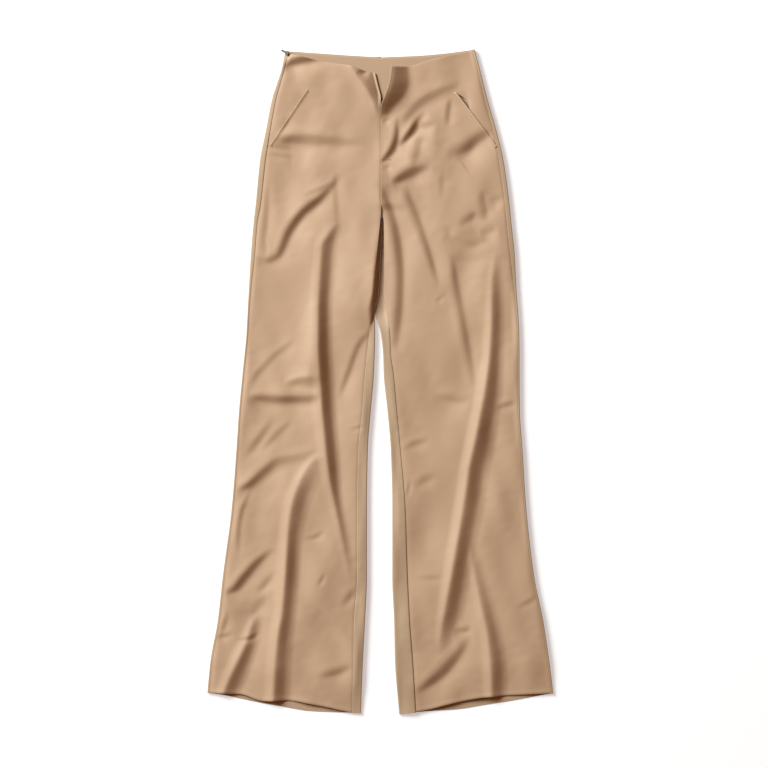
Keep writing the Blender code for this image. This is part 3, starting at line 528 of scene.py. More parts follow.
def stations(middle):
    """a and b so that a line lies at a + b * width: fixed distances at both edges, shares between."""
    zone = EDGE_LINES[-1]
    share = np.linspace(0, 1, middle + 2)[1:-1]
    a = np.concatenate([EDGE_LINES, zone * (1 - 2 * share), -EDGE_LINES[::-1]])
    b = np.concatenate([0 * EDGE_LINES, share, 0 * EDGE_LINES + 1])
    return a, b


def panel_rows():
    a, b = stations(MIDDLE_ROWS)
    return WAIST_Y - (a + b * (WAIST_Y - HEM_Y))


def bend_row(x, y, waist, hem):
    """Moves the rows near the waist and the hem so that the last ones follow those edges."""
    near_waist = smooth_step((y - (WAIST_Y - BEND)) / BEND)
    near_hem = smooth_step(((HEM_Y + BEND) - y) / BEND)
    return y + near_waist * (edge_y(waist, x) - WAIST_Y) + near_hem * (edge_y(hem, x) - HEM_Y)


def follow_edges(place, waist, hem):
    """x and y of a panel's points, where place(y) gives the x of every column at each y."""
    rows = panel_rows()[:, None]
    y = rows
    for _ in range(4):
        x = place(y)
        y = bend_row(x, rows, waist, hem)
    return place(y), y


print("rows", len(panel_rows()), "columns", len(stations(MIDDLE_COLUMNS)[0]))

# %% [markdown]
# Meshes are filled in bulk. The UV map holds distances measured over the cloth in metres, so that the
# weave keeps its size and runs over the creases as it does on real cloth.

# %% From a grid to a mesh


def flat_measure(points):
    """u and v of each point: the length over the cloth along its row and down its column."""
    u = np.linalg.norm(np.diff(points, axis=1), axis=2).cumsum(axis=1)
    v = np.linalg.norm(np.diff(points, axis=0), axis=2).cumsum(axis=0)
    u = np.concatenate([np.zeros((len(points), 1)), u], axis=1)
    v = np.concatenate([np.zeros((1, points.shape[1])), v], axis=0)
    return np.stack([u - u[:, -1:] / 2, -v], axis=-1) * MM


def grid_mesh(name, points, cells=None, flip=False):
    """A mesh on a grid of points in mm. Faces look up where columns run to +X and rows to -Y."""
    rows, columns = points.shape[:2]
    corner = np.arange(rows * columns).reshape(rows, columns)
    quads = np.stack([corner[:-1, :-1], corner[1:, :-1], corner[1:, 1:], corner[:-1, 1:]], axis=-1)
    quads = quads.reshape(-1, 4) if cells is None else quads[cells]
    if flip:
        quads = quads[:, ::-1]
    used, faces = np.unique(quads, return_inverse=True)
    faces = faces.reshape(quads.shape)
    mesh = bpy.data.meshes.new(name)
    mesh.from_pydata(points.reshape(-1, 3)[used] * MM, [], faces)
    uv = mesh.uv_layers.new(name="cloth")
    uv.data.foreach_set("uv", flat_measure(points).reshape(-1, 2)[used][faces].ravel())
    mesh.shade_smooth()
    return mesh


def add_object(name, data):
    made = bpy.data.objects.new(name, data)
    bpy.context.scene.collection.objects.link(made)
    return made


def add_piece(mesh, material):
    """An object of its own for the mesh, with the same name, that rides on the trousers' body."""
    mesh.materials.append(material)
    piece = add_object(mesh.name, mesh)
    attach(piece, "root")
    return piece


def cloth_piece(mesh, material, wall, node, slot):
    """A piece that shows in place of a solid. The mesh is its outer face, and its wall grows inwards."""
    piece = add_piece(mesh, material)
    solidify = piece.modifiers.new("wall", "SOLIDIFY")
    solidify.thickness = wall * MM
    solidify.offset = -1.0
    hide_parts(node)
    print(mesh.name, len(mesh.polygons), "faces")
    return piece


print("the mesh makers are ready")

# %% [markdown]
# ## Finishes
#
# Crepe has a dull, pebbled face from hard-twisted yarn, and the satin behind it gives it weight and a
# soft gleam. From a step away the eye sees an even tan with a slow cloudiness, faint lengthwise streaks
# and a gleam on ridges that face the light. Closer, there is the grain. One node group makes all of
# this from the cloth's own UV map, and each material gives it its own values.

# %% Node helpers


def new_group(name, inputs, outputs):
    """An empty shader group. inputs is a list of (name, type, default), outputs of (name, type)."""
    group = bpy.data.node_groups.new(name, "ShaderNodeTree")
    for label, kind, default in inputs:
        socket = group.interface.new_socket(label, in_out="INPUT", socket_type=kind)
        socket.default_value = default
    for label, kind in outputs:
        group.interface.new_socket(label, in_out="OUTPUT", socket_type=kind)
    return group, group.nodes.new("NodeGroupInput"), group.nodes.new("NodeGroupOutput")


def set_inputs(tree, node, inputs):
    """Sets or links each input, given as (name or index, value or socket)."""
    for key, value in inputs:
        if isinstance(value, bpy.types.NodeSocket):
            tree.links.new(value, node.inputs[key])
        else:
            node.inputs[key].default_value = value


def add_node(tree, kind, inputs=(), **settings):
    made = tree.nodes.new(kind)
    for key, value in settings.items():
        setattr(made, key, value)
    set_inputs(tree, made, inputs)
    return made


def math_node(tree, operation, *values, clamp=False):
    made = add_node(tree, "ShaderNodeMath", enumerate(values), operation=operation, use_clamp=clamp)
    return made.outputs[0]


def mix_colour(tree, factor, first, second):
    """Inputs 0, 6 and 7 of a mix node are its factor and its two colours, and output 2 is a colour."""
    inputs = ((0, factor), (6, first), (7, second))
    return add_node(tree, "ShaderNodeMix", inputs, data_type="RGBA").outputs[2]


def stretched(tree, vector, scale):
    """The vector with each axis scaled."""
    return add_node(tree, "ShaderNodeMapping", [("Vector", vector), ("Scale", scale)]).outputs[0]


def noise(tree, vector, scale, detail=2.0, roughness=0.5):
    """A noise value from 0 to 1."""
    made = add_node(tree, "ShaderNodeTexNoise", [("Vector", vector), ("Scale", scale),
                                                 ("Detail", detail), ("Roughness", roughness)])
    return made.outputs[0]


def bump_normal(tree, height, distance, strength):
    """The normal of a surface whose grain is as deep as the distance, in metres."""
    return add_node(tree, "ShaderNodeBump", [("Height", height), ("Distance", distance),
                                             ("Strength", strength)]).outputs["Normal"]


def new_material(name):
    """A material with nodes, its tree and its Principled shader."""
    material = bpy.data.materials.new(name)
    material.use_nodes = True
    return material, material.node_tree, material.node_tree.nodes["Principled BSDF"]


print("node helpers are ready")

# %% The cloth group


def make_cloth_group():
    """Colour, roughness and height of crepe.

    Colour: the dye, moved towards a deeper dye by two noises, a cloudy one and one drawn out along the
    warp. Height: crossed sine waves for the yarns, broken up by a fine pebble noise.
    """
    group, given, out = new_group(
        "crepe_face",
        [("Dye", "NodeSocketColor", (0.5, 0.4, 0.3, 1)),
         ("Deep Dye", "NodeSocketColor", (0.4, 0.3, 0.2, 1)),
         ("Yarn Pitch", "NodeSocketFloat", 0.0006),
         ("Cloudiness", "NodeSocketFloat", 0.5),
         ("Base Roughness", "NodeSocketFloat", 0.5)],
        [("Colour", "NodeSocketColor"), ("Roughness", "NodeSocketFloat"), ("Height", "NodeSocketFloat")])
    uv = add_node(group, "ShaderNodeUVMap", uv_map="cloth").outputs[0]
    cloud = noise(group, uv, 9.0, 3.0, 0.55)
    streak = noise(group, stretched(group, uv, (420.0, 9.0, 1.0)), 1.0, 3.0, 0.6)
    slub = noise(group, stretched(group, uv, (60.0, 1500.0, 1.0)), 1.0, 2.0, 0.5)
    pebble = noise(group, uv, 1500.0, 2.0, 0.6)
    blend = math_node(group, "MULTIPLY_ADD", cloud, 1.5, -0.25)
    blend = math_node(group, "MULTIPLY_ADD", streak, 0.35, blend)
    blend = math_node(group, "MULTIPLY_ADD", slub, 0.2, blend)
    blend = math_node(group, "MULTIPLY_ADD", pebble, 0.25, blend)
    blend = math_node(group, "SUBTRACT", blend, 0.4)
    blend = math_node(group, "MULTIPLY", blend, given.outputs["Cloudiness"], clamp=True)
    colour = mix_colour(group, blend, given.outputs["Dye"], given.outputs["Deep Dye"])
    parts = add_node(group, "ShaderNodeSeparateXYZ", [("Vector", uv)])
    turns = math_node(group, "DIVIDE", 2 * math.pi, given.outputs["Yarn Pitch"])
    warp = math_node(group, "SINE", math_node(group, "MULTIPLY", parts.outputs[0], turns))
    weft = math_node(group, "SINE", math_node(group, "MULTIPLY", parts.outputs[1], turns))
    yarns = math_node(group, "MULTIPLY", warp, weft)
    height = math_node(group, "MULTIPLY_ADD", yarns, 0.25, pebble)
    rough = math_node(group, "MULTIPLY_ADD", cloud, 0.12, given.outputs["Base Roughness"])
    rough = math_node(group, "MULTIPLY_ADD", pebble, 0.06, rough)
    set_inputs(group, out, [("Colour", colour), ("Roughness", rough), ("Height", height)])
    return group


cloth_group = make_cloth_group()
print("cloth group has", len(cloth_group.nodes), "nodes")

# %% Cloth materials


CLOUDINESS = 0.5
GRAIN_DEPTH = 0.00004  # m
GRAIN_STRENGTH = 0.6


def cloth_material(name, dye, deep_dye, roughness=0.5, pitch=0.0007):
    """A Principled material that takes its colour, roughness and grain from the cloth group."""
    material, tree, shader = new_material(name)
    face = add_node(tree, "ShaderNodeGroup", node_tree=cloth_group)
    set_inputs(tree, face, [("Dye", (*dye, 1)), ("Deep Dye", (*deep_dye, 1)), ("Yarn Pitch", pitch),
                            ("Cloudiness", CLOUDINESS), ("Base Roughness", roughness)])
    grain = bump_normal(tree, face.outputs["Height"], GRAIN_DEPTH, GRAIN_STRENGTH)
    set_inputs(tree, shader, [
        ("Base Color", face.outputs["Colour"]),
        ("Roughness", face.outputs["Roughness"]),
        ("Normal", grain),
        ("Sheen Weight", 0.10),
        ("Sheen Roughness", 0.45),
        ("Sheen Tint", (1.0, 0.86, 0.70, 1)),
        ("Specular IOR Level", 0.3)])
    return material


front_crepe = cloth_material("front_crepe", (0.388, 0.260, 0.166), (0.338, 0.220, 0.135))
# The back panels are the front's crepe with a dye a little less red: painted shade for the greyer tan that
# their rolled strips show where they face the light at another angle.
back_crepe = cloth_material("back_crepe", (0.364, 0.256, 0.164), (0.320, 0.218, 0.136))
facing_crepe = cloth_material("facing_crepe", (0.374, 0.256, 0.164), (0.330, 0.216, 0.134), roughness=0.6)
tape_cloth = cloth_material("tape_cloth", (0.20, 0.13, 0.085), (0.15, 0.095, 0.06), roughness=0.7,
                            pitch=0.0009)
print("cloth materials:", front_crepe.name, back_crepe.name, facing_crepe.name, tape_cloth.name)

# %% [markdown]
# ## Front panels
#
# Each front panel runs from the side seam to the centre front and then to the inseam. At a seam the
# cloth is turned under and pressed, so it dips and the line between two panels reads as a fine groove.
# At the centre front the left panel lies a little over the right one. The hem is narrow, turned up twice
# and stitched, which leaves a low ledge along its inner edge.

# %% Turned edges, seams and hems
SEAM_DIP = 0.6  # mm
SEAM_HALF = 1.5
SEAM_QUICK = 2.0  # half-width of the dip on one side of a seam
SEAM_SLOW = 4.0  # on the other side the cloth comes up more slowly
HEM_DEPTH = 6.0
HEM_RISE = 0.35
HEM_LEDGE = 1.2  # width of the step at the hem's inner edge
LAP = {"right": -0.35, "left": 0.55}  # rise of each panel where the left one laps the right one
LAP_HALF = 3.2
LAP_LENGTH = 25.0  # mm over which the lap starts above the wedge
TURN_DROP = 0.7
TURN_REACH = 1.3
SIDE_PRESS = {"right": [(548, 1.0), (100, 0.9), (-100, 0.55), (-330, 0.12), (-548, 0.1)],
              "left": [(548, 0.6), (200, 0.85), (60, 0.3), (-120, 0.12), (-548, 0.1)]}
INSEAM_PRESS = [(548, 0.5), (268, 0.5), (60, 0.75), (-200, 0.5), (-330, 0.85), (-548, 0.6)]


def pressed_groove(distance, half=SEAM_HALF):
    """A narrow dip, a bell curve over the distance from the seam."""
    return -SEAM_DIP * bell(distance, half)


def turned_edge(distance):
    """The roll of a folded edge: it drops over the last millimetre."""
    return -TURN_DROP * bell(distance, TURN_REACH)


print("seams dip by", SEAM_DIP, "mm, and folded edges drop by", TURN_DROP, "mm")

# %% The open edges of the fly
FLY_LIE = 6.0  # the right fly edge lies down on the back, and the left one stands up
FLY_LIE_HALF = 15.0
FLY_LIE_START = (452.0, 30.0)  # the y where it starts, and the mm over which it grows
FLY_PRESS = 0.9  # a pressed line beside the right turning
FLY_PRESS_AT = 4.8
FLY_PRESS_HALF = 1.7
FLY_PRESS_START = (446.0, 24.0)
FLY_VALLEY = [(540, 47.0), (516, 46.5), (495, 48.0), (478, 43.0), (462, 31.5), (452, 21.5), (434, 7.0)]
FLY_SLOPE = 0.68
FLY_SOFT = 2.2
FLY_SPAN = 28.5  # mm of slope, at most, before the edge lies level
FLY_LIP = 4.0  # mm of the edge that lie level at the least
FLY_ROLL_START = (424.0, 26.0)


def grown(y, start):
    """0 below the start, and 1 where the stated length above it is past."""
    return smooth_step((y - start[0]) / start[1])


def fly_roll(x, y):
    """The left fly edge stands up and slopes down to a valley line, with both bends softened."""
    slope_end = down_rows(y, FLY_VALLEY)
    span = np.clip(slope_end - across(LEFT_SECTIONS, "front_edge", y) - FLY_LIP, 0.0, FLY_SPAN)
    fall = slope_end - x
    fall = span - FLY_SOFT * np.logaddexp(0, (span - fall) / FLY_SOFT)
    return FLY_SLOPE * FLY_SOFT * np.logaddexp(0, fall / FLY_SOFT) * grown(y, FLY_ROLL_START)


print("the left fly edge rises", fly_roll(np.array([20.0]), np.array([505.0])).round(1), "mm")

# %% The shape of a front panel


def front_shape(x, y, leg):
    """Top surface of a front panel: the lie of the cloth, its seams, its hem and its waist edge."""
    z = lay_height(x, y, leg)
    at_side, at_front = (SEAM_SLOW, SEAM_QUICK) if leg.name == "right" else (SEAM_QUICK, SEAM_SLOW)
    side = pressed_groove(np.abs(x - across(leg.sections, "side_seam", y)), at_side)
    z = z + side * down_rows(y, SIDE_PRESS[leg.name])
    from_front = np.abs(x - across(leg.sections, "front_edge", y))
    closed = smooth_step((FLY_END_Y[leg.name] - y) / FLY_CLOSE)
    overlap = closed * smooth_step((y - WEDGE_TOP_Y) / LAP_LENGTH)
    z = z + closed * pressed_groove(from_front, at_front) * down_rows(y, INSEAM_PRESS)
    z = z + overlap * LAP[leg.name] * bell(from_front, LAP_HALF)
    if leg.name == "right":
        z = z - FLY_LIE * grown(y, FLY_LIE_START) * bell(from_front, FLY_LIE_HALF)
        z = z - FLY_PRESS * grown(y, FLY_PRESS_START) * bell(from_front - FLY_PRESS_AT, FLY_PRESS_HALF)
    else:
        z = z + fly_roll(x, y)
    from_hem = y - edge_y(leg.front_hem, x)
    z = z + HEM_RISE * smooth_step((HEM_DEPTH + 0.8 - from_hem) / HEM_LEDGE) + turned_edge(from_hem)
    return z + 0.5 * turned_edge(edge_y(leg.front_waist, x) - y)


def front_grid(leg):
    """Points of a front panel, rows from the waist down and columns from the side seam."""
    a, b = stations(MIDDLE_COLUMNS)

    def place(y):
        start = across(leg.sections, "side_seam", y) + leg.side * SEAM_GAP / 2
        end = across(leg.sections, "front_edge", y) - leg.side * SEAM_GAP / 2
        return start + leg.side * (a + b * np.abs(end - start))

    x, y = follow_edges(place, leg.front_waist, leg.front_hem)
    return np.stack([x, y, front_shape(x, y, leg)], axis=-1)


front_grids = {leg.name: front_grid(leg) for leg in (RIGHT, LEFT)}
for name, points in front_grids.items():
    print(name, "front panel stands up to", round(float(points[..., 2].max()), 1), "mm")

# %% [markdown]
# ## Pocket mouths
#
# A slash pocket's mouth is a real cut. The mesh is cut with a vertical plane along the mouth, the edges
# on it are split, and the two sides are moved apart: the body side is raised into a lip, and the hip
# side sinks a little and draws back near the top, where a mouth gapes.

# %% The form of a mouth
Mouth = namedtuple("Mouth", "top bottom gape lip sink")
MOUTHS = {"right": Mouth((-120.5, 482), (-186, 384), 0.2, 0.6, 1.1),
          "left": Mouth((125.5, 478), (198, 382), 5.5, 0.5, 1.2)}
MOUTH_REACH = 9.0
LIP_HALF = 4.0
CUT_LINES = (-1.6, -0.7, 0.0, 0.7, 1.6)  # mm from the mouth, for fine strips of faces beside it
ON_CUT = 0.01  # mm
SLIT = 0.02  # mm by which a shut mouth's sides stand apart


def mouth_frame(mouth):
    """The mouth's start, its direction, the direction to its body side, and its length."""
    start = np.array(mouth.top, float)
    run = np.array(mouth.bottom, float) - start
    length = float(np.hypot(*run))
    along = run / length
    inner = np.array([-along[1], along[0]])
    return start, along, inner if inner[1] < 0 else -inner, length


def mouth_opening(share):
    """0 at the top, widest a sixth of the way down, and shut a third of the way down."""
    return smooth_step((share - 0.01) / 0.16) * smooth_step((0.33 - share) / 0.15)


def mouth_lip(x, y, mouth):
    """How far the body side is raised, a bell curve across the mouth that fades at its ends."""
    start, along, inner, length = mouth_frame(mouth)
    offset = np.stack([x - start[0], y - start[1]], -1)
    share = offset @ along / length
    fade = smooth_step((share + 0.05) / 0.12) * smooth_step((1.02 - share) / 0.15)
    return mouth.lip * fade * bell(offset @ inner, LIP_HALF)


print("pocket mouths are", [round(mouth_frame(mouth)[3]) for mouth in MOUTHS.values()], "mm long")

# %% Cut a mesh along a mouth


def cut_mouth(mesh, mouth):
    """Cuts the mesh along the mouth and moves the two sides apart."""
    start, along, inner, length = mouth_frame(mouth)
    shape = bmesh.new()
    shape.from_mesh(mesh)
    centre = start + along * length / 2
    for step in CUT_LINES:
        near = [f for f in shape.faces
                if (f.calc_center_median().xy / MM - Vector(centre)).length < length / 2 + 6
                and abs((f.calc_center_median().xy / MM - Vector(start)).dot(Vector(inner))) < 8]
        geometry = list({*near, *(e for f in near for e in f.edges), *(v for f in near for v in f.verts)})
        place = (start + inner * step) * MM
        bmesh.ops.bisect_plane(shape, geom=geometry, dist=1e-6, plane_co=(*place, 0),
                               plane_no=(*inner, 0))
    flat = {v: (v.co.xy / MM - Vector(start)) for v in shape.verts}
    on_line = {v for v, at in flat.items()
               if abs(at.dot(Vector(inner))) < ON_CUT and -0.5 < at.dot(Vector(along)) < length + 0.5}
    cut = [e for e in shape.edges if e.verts[0] in on_line and e.verts[1] in on_line]
    bmesh.ops.split_edges(shape, edges=cut)
    shape.to_mesh(mesh)
    shape.free()
    part_sides(mesh, mouth)
    return len(cut)


def part_sides(mesh, mouth):
    """Raises the body side of a mouth, and sinks the hip side and draws it back."""
    start, along, inner, length = mouth_frame(mouth)
    points = np.empty(len(mesh.vertices) * 3)
    mesh.vertices.foreach_get("co", points)
    points = points.reshape(-1, 3) / MM
    loop_vertex = np.empty(len(mesh.loops), int)
    mesh.loops.foreach_get("vertex_index", loop_vertex)
    sizes = np.empty(len(mesh.polygons), int)
    mesh.polygons.foreach_get("loop_total", sizes)
    centres = np.empty(len(mesh.polygons) * 3)
    mesh.polygons.foreach_get("center", centres)
    face_side = (centres.reshape(-1, 3)[:, :2] / MM - start) @ inner
    weight = np.bincount(loop_vertex, np.repeat(face_side, sizes), len(points))
    offset = points[:, :2] - start
    across_mouth = offset @ inner
    share = offset @ along / length
    body_side = np.where(np.abs(across_mouth) < ON_CUT, weight > 0, across_mouth > 0)
    near = (np.abs(across_mouth) < 3 * MOUTH_REACH) & (share > -0.3) & (share < 1.3)
    pull = bell(across_mouth, MOUTH_REACH) * near * ~body_side
    opening = mouth_opening(share)
    slit = SLIT * pull * ((share > 0) & (share < 1))
    points[:, :2] -= inner * (mouth.gape * opening * pull + slit)[:, None]
    points[:, 2] -= mouth.sink * pull * (0.3 + 0.7 * opening) * smooth_step(share / 0.1) * (share < 1)
    points[:, 2] += mouth_lip(points[:, 0], points[:, 1], mouth) * near * body_side
    mesh.vertices.foreach_set("co", (points * MM).ravel())
    mesh.update()


print("mouths are cut at", len(CUT_LINES), "lines")

# %% Make the front panels
fronts = {}
for leg in (RIGHT, LEFT):
    mesh = grid_mesh(f"front_{leg.name}_crepe", front_grids[leg.name], flip=leg.side < 0)
    edges = cut_mouth(mesh, MOUTHS[leg.name])
    fronts[leg.name] = cloth_piece(mesh, front_crepe, CLOTH, f"front_{leg.name}", "crepe")
    print("its pocket mouth is", edges, "edges long")

# %% [markdown]
# ## Back panels
#
# A back panel is a trough. From the side seam it rolls over the outer edge, runs along the floor, rolls
# up over the inner edge and ends at the inseam. Above the crotch it ends on the floor at the seat seam.
# Each stretch is a function of y and a share across it, and the stretches are joined side by side.

# %% The stretches of a back panel
ROLL_TURN = np.radians(np.linspace(90, -90, 13))
OUTER_STRIP = np.linspace(0, 1, 7)[:-1]
FLOOR_SHARE = np.linspace(0, 1, 15)[1:-1]
INNER_STRIP = np.linspace(0, 1, 12)[1:]
STRIP_DIP = {"right": (1.0, 0.2), "left": (0.2, 1.0)}  # share of the dip on the side and inseam strips
STRIP_EDGE = 0.2  # mm from a seam's middle to the strip's first line
GUSSET_LENGTH = 40.0  # mm over which the inner edge grows to its full height below the wedge
STRIP_CLIMB = {"right": 3.0, "left": 8.0}  # the power by which the inner strip climbs in the wedge


def back_lines(y, leg):
    """The plan lines that a back panel follows: seams, edges, and the half-widths of its two rolls."""
    outer = across(leg.sections, "outer", y)
    side_seam = across(leg.sections, "side_seam", y) - leg.side * SEAM_GAP / 2
    front_edge = across(leg.sections, "front_edge", y)
    back_edge = across(leg.sections, "back_edge", y) - leg.side * SEAM_GAP / 2
    outer_half = np.minimum(ROLL, 0.7 * np.abs(side_seam - outer))
    inner_half = np.minimum(ROLL, 0.45 * np.abs(back_edge - front_edge))
    return outer, side_seam, front_edge, back_edge, outer_half, inner_half


def back_places(leg):
    """For each stretch of a back panel, a function from y to the x of its columns."""
    side = leg.side

    def outer_strip(y):
        outer, seam, _, _, half, _ = back_lines(y, leg)
        return seam + (outer + side * half - seam) * OUTER_STRIP

    def outer_roll(y):
        outer, _, _, _, half, _ = back_lines(y, leg)
        return outer + side * half * (1 - np.cos(ROLL_TURN))

    def inner_roll(y):
        _, _, _, back_edge, _, half = back_lines(y, leg)
        x = back_edge - side * half * (1 - np.cos(ROLL_TURN))
        at_seat_seam = (np.arange(len(ROLL_TURN)) == 0) & (y >= WEDGE_TOP_Y)
        return np.where(at_seat_seam, back_edge, x)

    def floor(y):
        outer, _, _, back_edge, outer_half, inner_half = back_lines(y, leg)
        start = outer + side * outer_half
        end = back_edge - side * inner_half * (y < WEDGE_TOP_Y)
        return start + (end - start) * FLOOR_SHARE

    def inner_strip(y):
        _, _, front_edge, back_edge, _, half = back_lines(y, leg)
        start = back_edge - side * half
        return start + (front_edge + side * SEAM_GAP / 2 - start) * INNER_STRIP

    return outer_strip, outer_roll, floor, inner_roll, inner_strip


def rolled_height(height, turn):
    """Height round a half ellipse that stands on the floor."""
    return 0.5 * height * (1 + np.sin(turn))


def back_grid(leg):
    """Points of a back panel's outer face, and which of its cells are cloth."""
    spans = [follow_edges(place, BACK_WAIST, leg.back_hem) for place in back_places(leg)]
    (x0, y0), (x1, y1), (x2, y2), (x3, y3), (x4, y4) = spans
    parted = smooth_step((WEDGE_END_Y - y4) / GUSSET_LENGTH)
    groove = pressed_groove(np.abs(x0 - x0[:, :1]) + STRIP_EDGE)
    z0 = lay_height(x0, y0, leg) + groove * down_rows(y0, SIDE_PRESS[leg.name]) * STRIP_DIP[leg.name][0]
    outer, _, _, _, half, _ = back_lines(y1, leg)
    z1 = rolled_height(lay_height(outer + leg.side * half, y1, leg), ROLL_TURN)
    _, _, _, back_edge, _, half = back_lines(y3, leg)
    gusset = smooth_step((WEDGE_END_Y - y3) / GUSSET_LENGTH)
    top = CROTCH_ROLL + (lay_height(back_edge - leg.side * half, y3, leg) - CROTCH_ROLL) * gusset
    z3 = rolled_height(top, -ROLL_TURN)
    climbs = INNER_STRIP ** STRIP_CLIMB[leg.name]
    low = CROTCH_ROLL + (lay_height(x4[:, -1:], y4, leg) - TUCK - CROTCH_ROLL) * climbs
    z4 = low + (lay_height(x4, y4, leg) - low) * parted
    groove = pressed_groove(np.abs(x4 - x4[:, -1:]) + STRIP_EDGE) * STRIP_DIP[leg.name][1]
    z4 = z4 + groove * parted * down_rows(y4, INSEAM_PRESS)
    points = [np.stack(np.broadcast_arrays(x, y, z), axis=-1) for x, y, z in
              ((x0, y0, z0), (x1, y1, z1), (x2, y2, 0.0), (x3, y3, z3), (x4, y4, z4))]
    points = np.concatenate(points, axis=1)
    cells = np.ones((len(points) - 1, points.shape[1] - 1), bool)
    seat_seam = x0.shape[1] + x1.shape[1] + x2.shape[1]
    cells[panel_rows()[:-1] > WEDGE_TOP_Y, seat_seam:] = False
    return points, cells


print("a back panel has", back_grid(RIGHT)[0].shape[1], "columns")

# %% Make the back panels
backs = {}
for leg in (RIGHT, LEFT):
    points, cells = back_grid(leg)
    mesh = grid_mesh(f"back_{leg.name}_crepe", points, cells, flip=leg.side > 0)
    backs[leg.name] = cloth_piece(mesh, back_crepe, CLOTH, f"back_{leg.name}", "crepe")

# %% [markdown]
# ## Facings, turnings and welts
#
# These small pieces are strips that lie on a panel or just under it. Each is worked out from the
# panel's own surface, moved out by its wall and a gap, so that it follows every crease.

# %% The facing inside the back of the waist
FACING_DEPTH = 50.0
FACING_DROP = 26.0  # the facing is cut deeper at the centre back, in a bell
FACING_DROP_HALF = 42.0
FACING_SETBACK = 1.4
FACING_ROLL = 0.5
FACING_ROLL_HALF = 0.9
FACING_WAVE = 0.25


def waist_facing():
    """A strip that follows the back waist edge. It rolls down at its top edge and has a faint wave."""
    x, share = np.meshgrid(np.linspace(-150.0, 149.0, 160), np.linspace(0, 1, 40) ** 1.6)
    full = FACING_DEPTH + FACING_DROP * bell(x, FACING_DROP_HALF)
    depth = FACING_SETBACK + (full - FACING_SETBACK) * share
    y = edge_y(BACK_WAIST, x) - depth
    z = CLOTH + SEAM_GAP + THIN_CLOTH + FACING_ROLL * (1 - bell(depth - FACING_SETBACK, FACING_ROLL_HALF))
    z = z + FACING_WAVE * np.sin(x / 17.0) * np.sin(x / 41.0 + 1.0)
    return np.stack([x, y, z], axis=-1)


small_sheets = {}  # piece: its grid, and what it lies on
turned_edges = {"right": [], "left": []}  # strips that are the turned edges of the front panels
mesh = grid_mesh("waist_facing_crepe", waist_facing())
facing = cloth_piece(mesh, facing_crepe, THIN_CLOTH, "waist_facing_back", "facing")
small_sheets[facing] = (waist_facing(), backs["right"].name)

# %% The rolled edges of the open fly
TURNING_WIDTH = 5.0
TURNING = np.linspace(0, 1, 12)
TURNING_RISE = {"right": 1.6, "left": 0.3}
TURNING_FOOT = 0.35  # share of the width that a turning keeps at the foot of the fly


def fly_turning(leg):
    """A strip along the fly: a low arch across, whose outer edge rolls over the panel's edge."""
    grid = front_grids[leg.name]
    rows = grid[grid[:, -1, 1] > FLY_END_Y[leg.name]]
    edge = rows[:, -1]
    inward = rows[:, -8] - edge
    inward = inward[:, None, :2] / np.linalg.norm(inward[:, :2], axis=1)[:, None, None]
    end = smooth_step((edge[:, 1] - FLY_END_Y[leg.name]) / 30)[:, None]
    offset = TURNING_WIDTH * (TURNING_FOOT + (1 - TURNING_FOOT) * end) * TURNING[::-1]
    plan = edge[:, None, :2] + inward * offset[..., None]
    roll = TURNING_RISE[leg.name] * bell(TURNING[::-1] - 0.3, 0.3) * (0.25 + 0.75 * end)
    z = front_shape(plan[..., 0], plan[..., 1], leg) + roll - 0.1 + 0.15 * (1 - TURNING[::-1])
    return np.concatenate([plan, z[..., None]], axis=-1)


for leg in (RIGHT, LEFT):
    mesh = grid_mesh(f"fly_turning_{leg.name}_crepe", fly_turning(leg), flip=leg.side < 0)
    turned_edges[leg.name].append(
        cloth_piece(mesh, facing_crepe, THIN_CLOTH, f"fly_turning_{leg.name}", "facing"))

# %% Pocket welts, and the side pieces behind the mouths
WELT_WIDTH = 6.0
WELT_EDGE = 0.15  # mm from the cut to the welt
WELT_STITCH = 0.82  # share of the width at which the stitching holds it down
POCKET_MARGIN = 11.0
POCKET_SINK = {"right": 1.9, "left": 4.4}  # mm by which the side piece lies below the front panel


def pocket_welt(leg):
    """The turned lip along a mouth: a rounded roll at the cut that flattens towards its stitching."""
    start, along, inner, length = mouth_frame(MOUTHS[leg.name])
    share = np.linspace(0.0, 0.94, 60)[:, None]
    across_welt = np.linspace(0, 1, 9)
    offset = WELT_EDGE + (WELT_WIDTH - WELT_EDGE) * across_welt**1.4
    plan = start + along * length * share[..., None] + inner * offset[None, :, None]
    z = front_shape(plan[..., 0], plan[..., 1], leg)
    z = z + mouth_lip(plan[..., 0], plan[..., 1], MOUTHS[leg.name])
    roll = 0.5 * bell(offset - 1.6, 2.0) - 0.2 * bell(offset, 0.6)
    stitched = bell(offset - WELT_STITCH * WELT_WIDTH, 0.6) * (1 - 0.8 * smooth_step(share / 0.3))
    z = z + roll - 0.12 * stitched + 0.25 * (1 - smooth_step(offset / WELT_WIDTH)) - 0.06
    return np.concatenate([plan, z[..., None]], axis=-1)


def pocket_side(leg):
    """The piece seen through a mouth, a wall's depth below the front panel."""
    start, along, _, length = mouth_frame(MOUTHS[leg.name])
    end = start + along * length * 0.8
    y = np.linspace(start[1] + 8, end[1], 40)[:, None]
    middle = start[0] + (y - start[1]) * along[0] / along[1]
    seam = across(leg.sections, "side_seam", y) + leg.side * 5
    first = middle - leg.side * POCKET_MARGIN
    first = np.maximum(first, seam) if leg.side > 0 else np.minimum(first, seam)
    x = first + (middle + leg.side * POCKET_MARGIN - first) * np.linspace(0, 1, 12)
    x, y = np.broadcast_arrays(x, y)
    z = lay_height(x, y, leg) - CLOTH - POCKET_SINK[leg.name]
    return np.stack([x, y, z], axis=-1)


